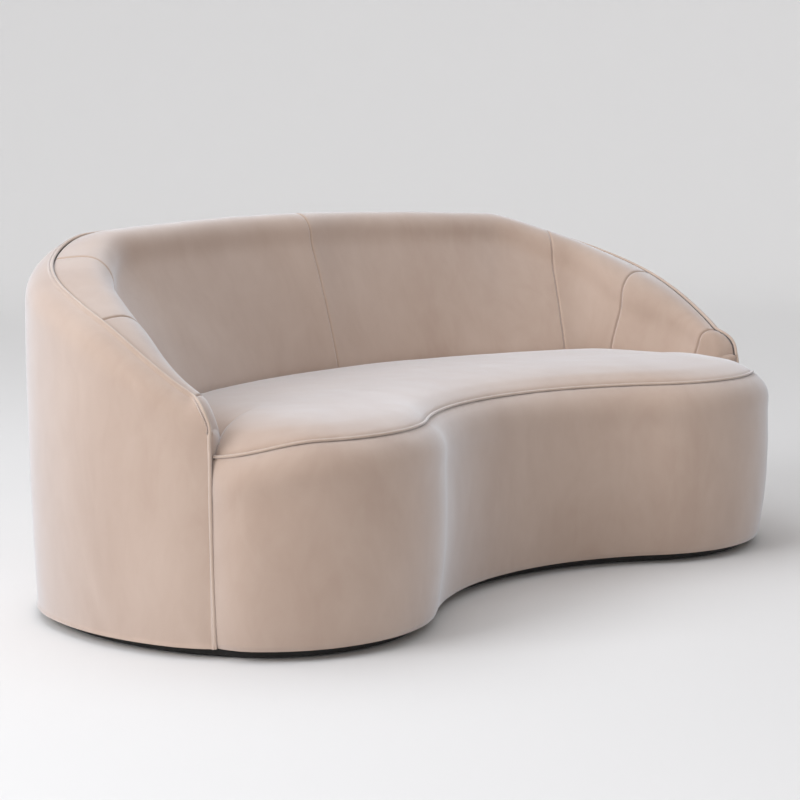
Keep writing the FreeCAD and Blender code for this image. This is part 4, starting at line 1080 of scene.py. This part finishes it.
def backdrop():
    """Pale floor that sweeps up into a wall all round, far from the sofa, with painted light: a glow seen by
    the camera that grows with the distance from the sofa.
    """
    profile = [(0.0, 0.0), (7.0, 0.0)]
    for k in range(1, 13):
        turn = math.radians(90 * k / 12)
        profile.append((7.0 + 3.0 * math.sin(turn), 3.0 * (1 - math.cos(turn))))
    profile.append((10.0, 9.0))
    around = 64
    points = [(0.0, 0.0, 0.0)]
    for radius, height in profile[1:]:
        for k in range(around):
            turn = 2 * math.pi * k / around
            points.append((radius * math.cos(turn), radius * math.sin(turn), height))
    faces = [[0, 1 + k, 1 + (k + 1) % around] for k in range(around)]
    for ring in range(len(profile) - 2):
        low = 1 + ring * around
        for k in range(around):
            after = (k + 1) % around
            faces.append([low + k, low + around + k, low + around + after, low + after])
    mesh = bpy.data.meshes.new("studio_floor")
    mesh.from_pydata(points, [], faces)
    mesh.shade_smooth()
    floor = bpy.data.objects.new("studio_floor", mesh)
    bpy.context.scene.collection.objects.link(floor)
    made = plain("studio_floor", linear(226, 225, 225), 0.9)
    tree = made.node_tree
    # Painted light: for camera rays the floor and wall glow, more the farther they are from the sofa.
    place = node(tree, "ShaderNodeTexCoord").outputs["Object"]
    away = node(tree, "ShaderNodeVectorMath", operation="LENGTH")
    tree.links.new(place, away.inputs[0])
    glow = node(tree, "ShaderNodeMapRange")
    glow.inputs["From Min"].default_value = 1.5
    glow.inputs["From Max"].default_value = 8.0
    glow.inputs["To Min"].default_value = 0.0
    glow.inputs["To Max"].default_value = 0.20
    tree.links.new(away.outputs["Value"], glow.inputs["Value"])
    seen = node(tree, "ShaderNodeMath", operation="MULTIPLY")
    tree.links.new(glow.outputs["Result"], seen.inputs[0])
    tree.links.new(node(tree, "ShaderNodeLightPath").outputs["Is Camera Ray"], seen.inputs[1])
    tree.links.new(seen.outputs[0], tree.nodes["Principled BSDF"].inputs["Emission Strength"])
    mesh.materials.append(made)


def lamp(name, place, target, size, watts, colour=(1.0, 1.0, 1.0)):
    """Rectangular area lamp at a place, turned towards a target."""
    light = bpy.data.lights.new(name, "AREA")
    light.shape = "RECTANGLE"
    light.size, light.size_y = size
    light.energy = watts
    light.color = colour
    holder = bpy.data.objects.new(name, light)
    holder.location = place
    holder.rotation_mode = "QUATERNION"
    holder.rotation_quaternion = (Vector(target) - Vector(place)).to_track_quat("-Z", "Y")
    bpy.context.scene.collection.objects.link(holder)


def photo_camera():
    """Camera at the photograph's place, 86.9 mm lens, slightly rolled."""
    place = Vector((-3.056, -2.900, 0.9186))
    turn = math.radians(46.04)
    pitch = math.radians(-7.39)
    tilt = math.radians(-0.6)
    level = math.cos(pitch)
    ahead = Vector((math.sin(turn) * level, math.cos(turn) * level, math.sin(pitch)))
    right = ahead.cross(Vector((0, 0, 1))).normalized()
    up = right.cross(ahead)
    rolled = right * math.cos(tilt) + up * math.sin(tilt)
    up = up * math.cos(tilt) - right * math.sin(tilt)
    data = bpy.data.cameras.new("camera")
    data.sensor_width = 36.0
    data.lens = 86.85
    data.clip_start = 0.05
    data.clip_end = 60.0
    holder = bpy.data.objects.new("camera", data)
    turned = Matrix((rolled, up, -ahead)).transposed().to_4x4()
    holder.matrix_world = Matrix.Translation(place) @ turned
    bpy.context.scene.collection.objects.link(holder)
    bpy.context.scene.camera = holder


backdrop()
lamp("key", (-5.0, 0.9, 3.0), (0.0, 0.0, 0.4), (3.0, 3.0), 185.0, (0.95, 0.97, 1.0))
lamp("top", (-0.8, 1.4, 4.4), (0.0, 0.0, 0.3), (4.0, 4.0), 78.0, (0.95, 0.97, 1.0))
lamp("front", (-3.4, -4.4, 2.4), (0.0, 0.0, 0.4), (3.0, 2.5), 34.0)
world = bpy.data.worlds.new("studio")
world.use_nodes = True
sky = world.node_tree.nodes["Background"]
sky.inputs["Color"].default_value = (1.0, 1.0, 1.0, 1.0)
sky.inputs["Strength"].default_value = 0.66
bpy.context.scene.world = world
photo_camera()
bpy.context.scene.view_settings.view_transform = "Standard"
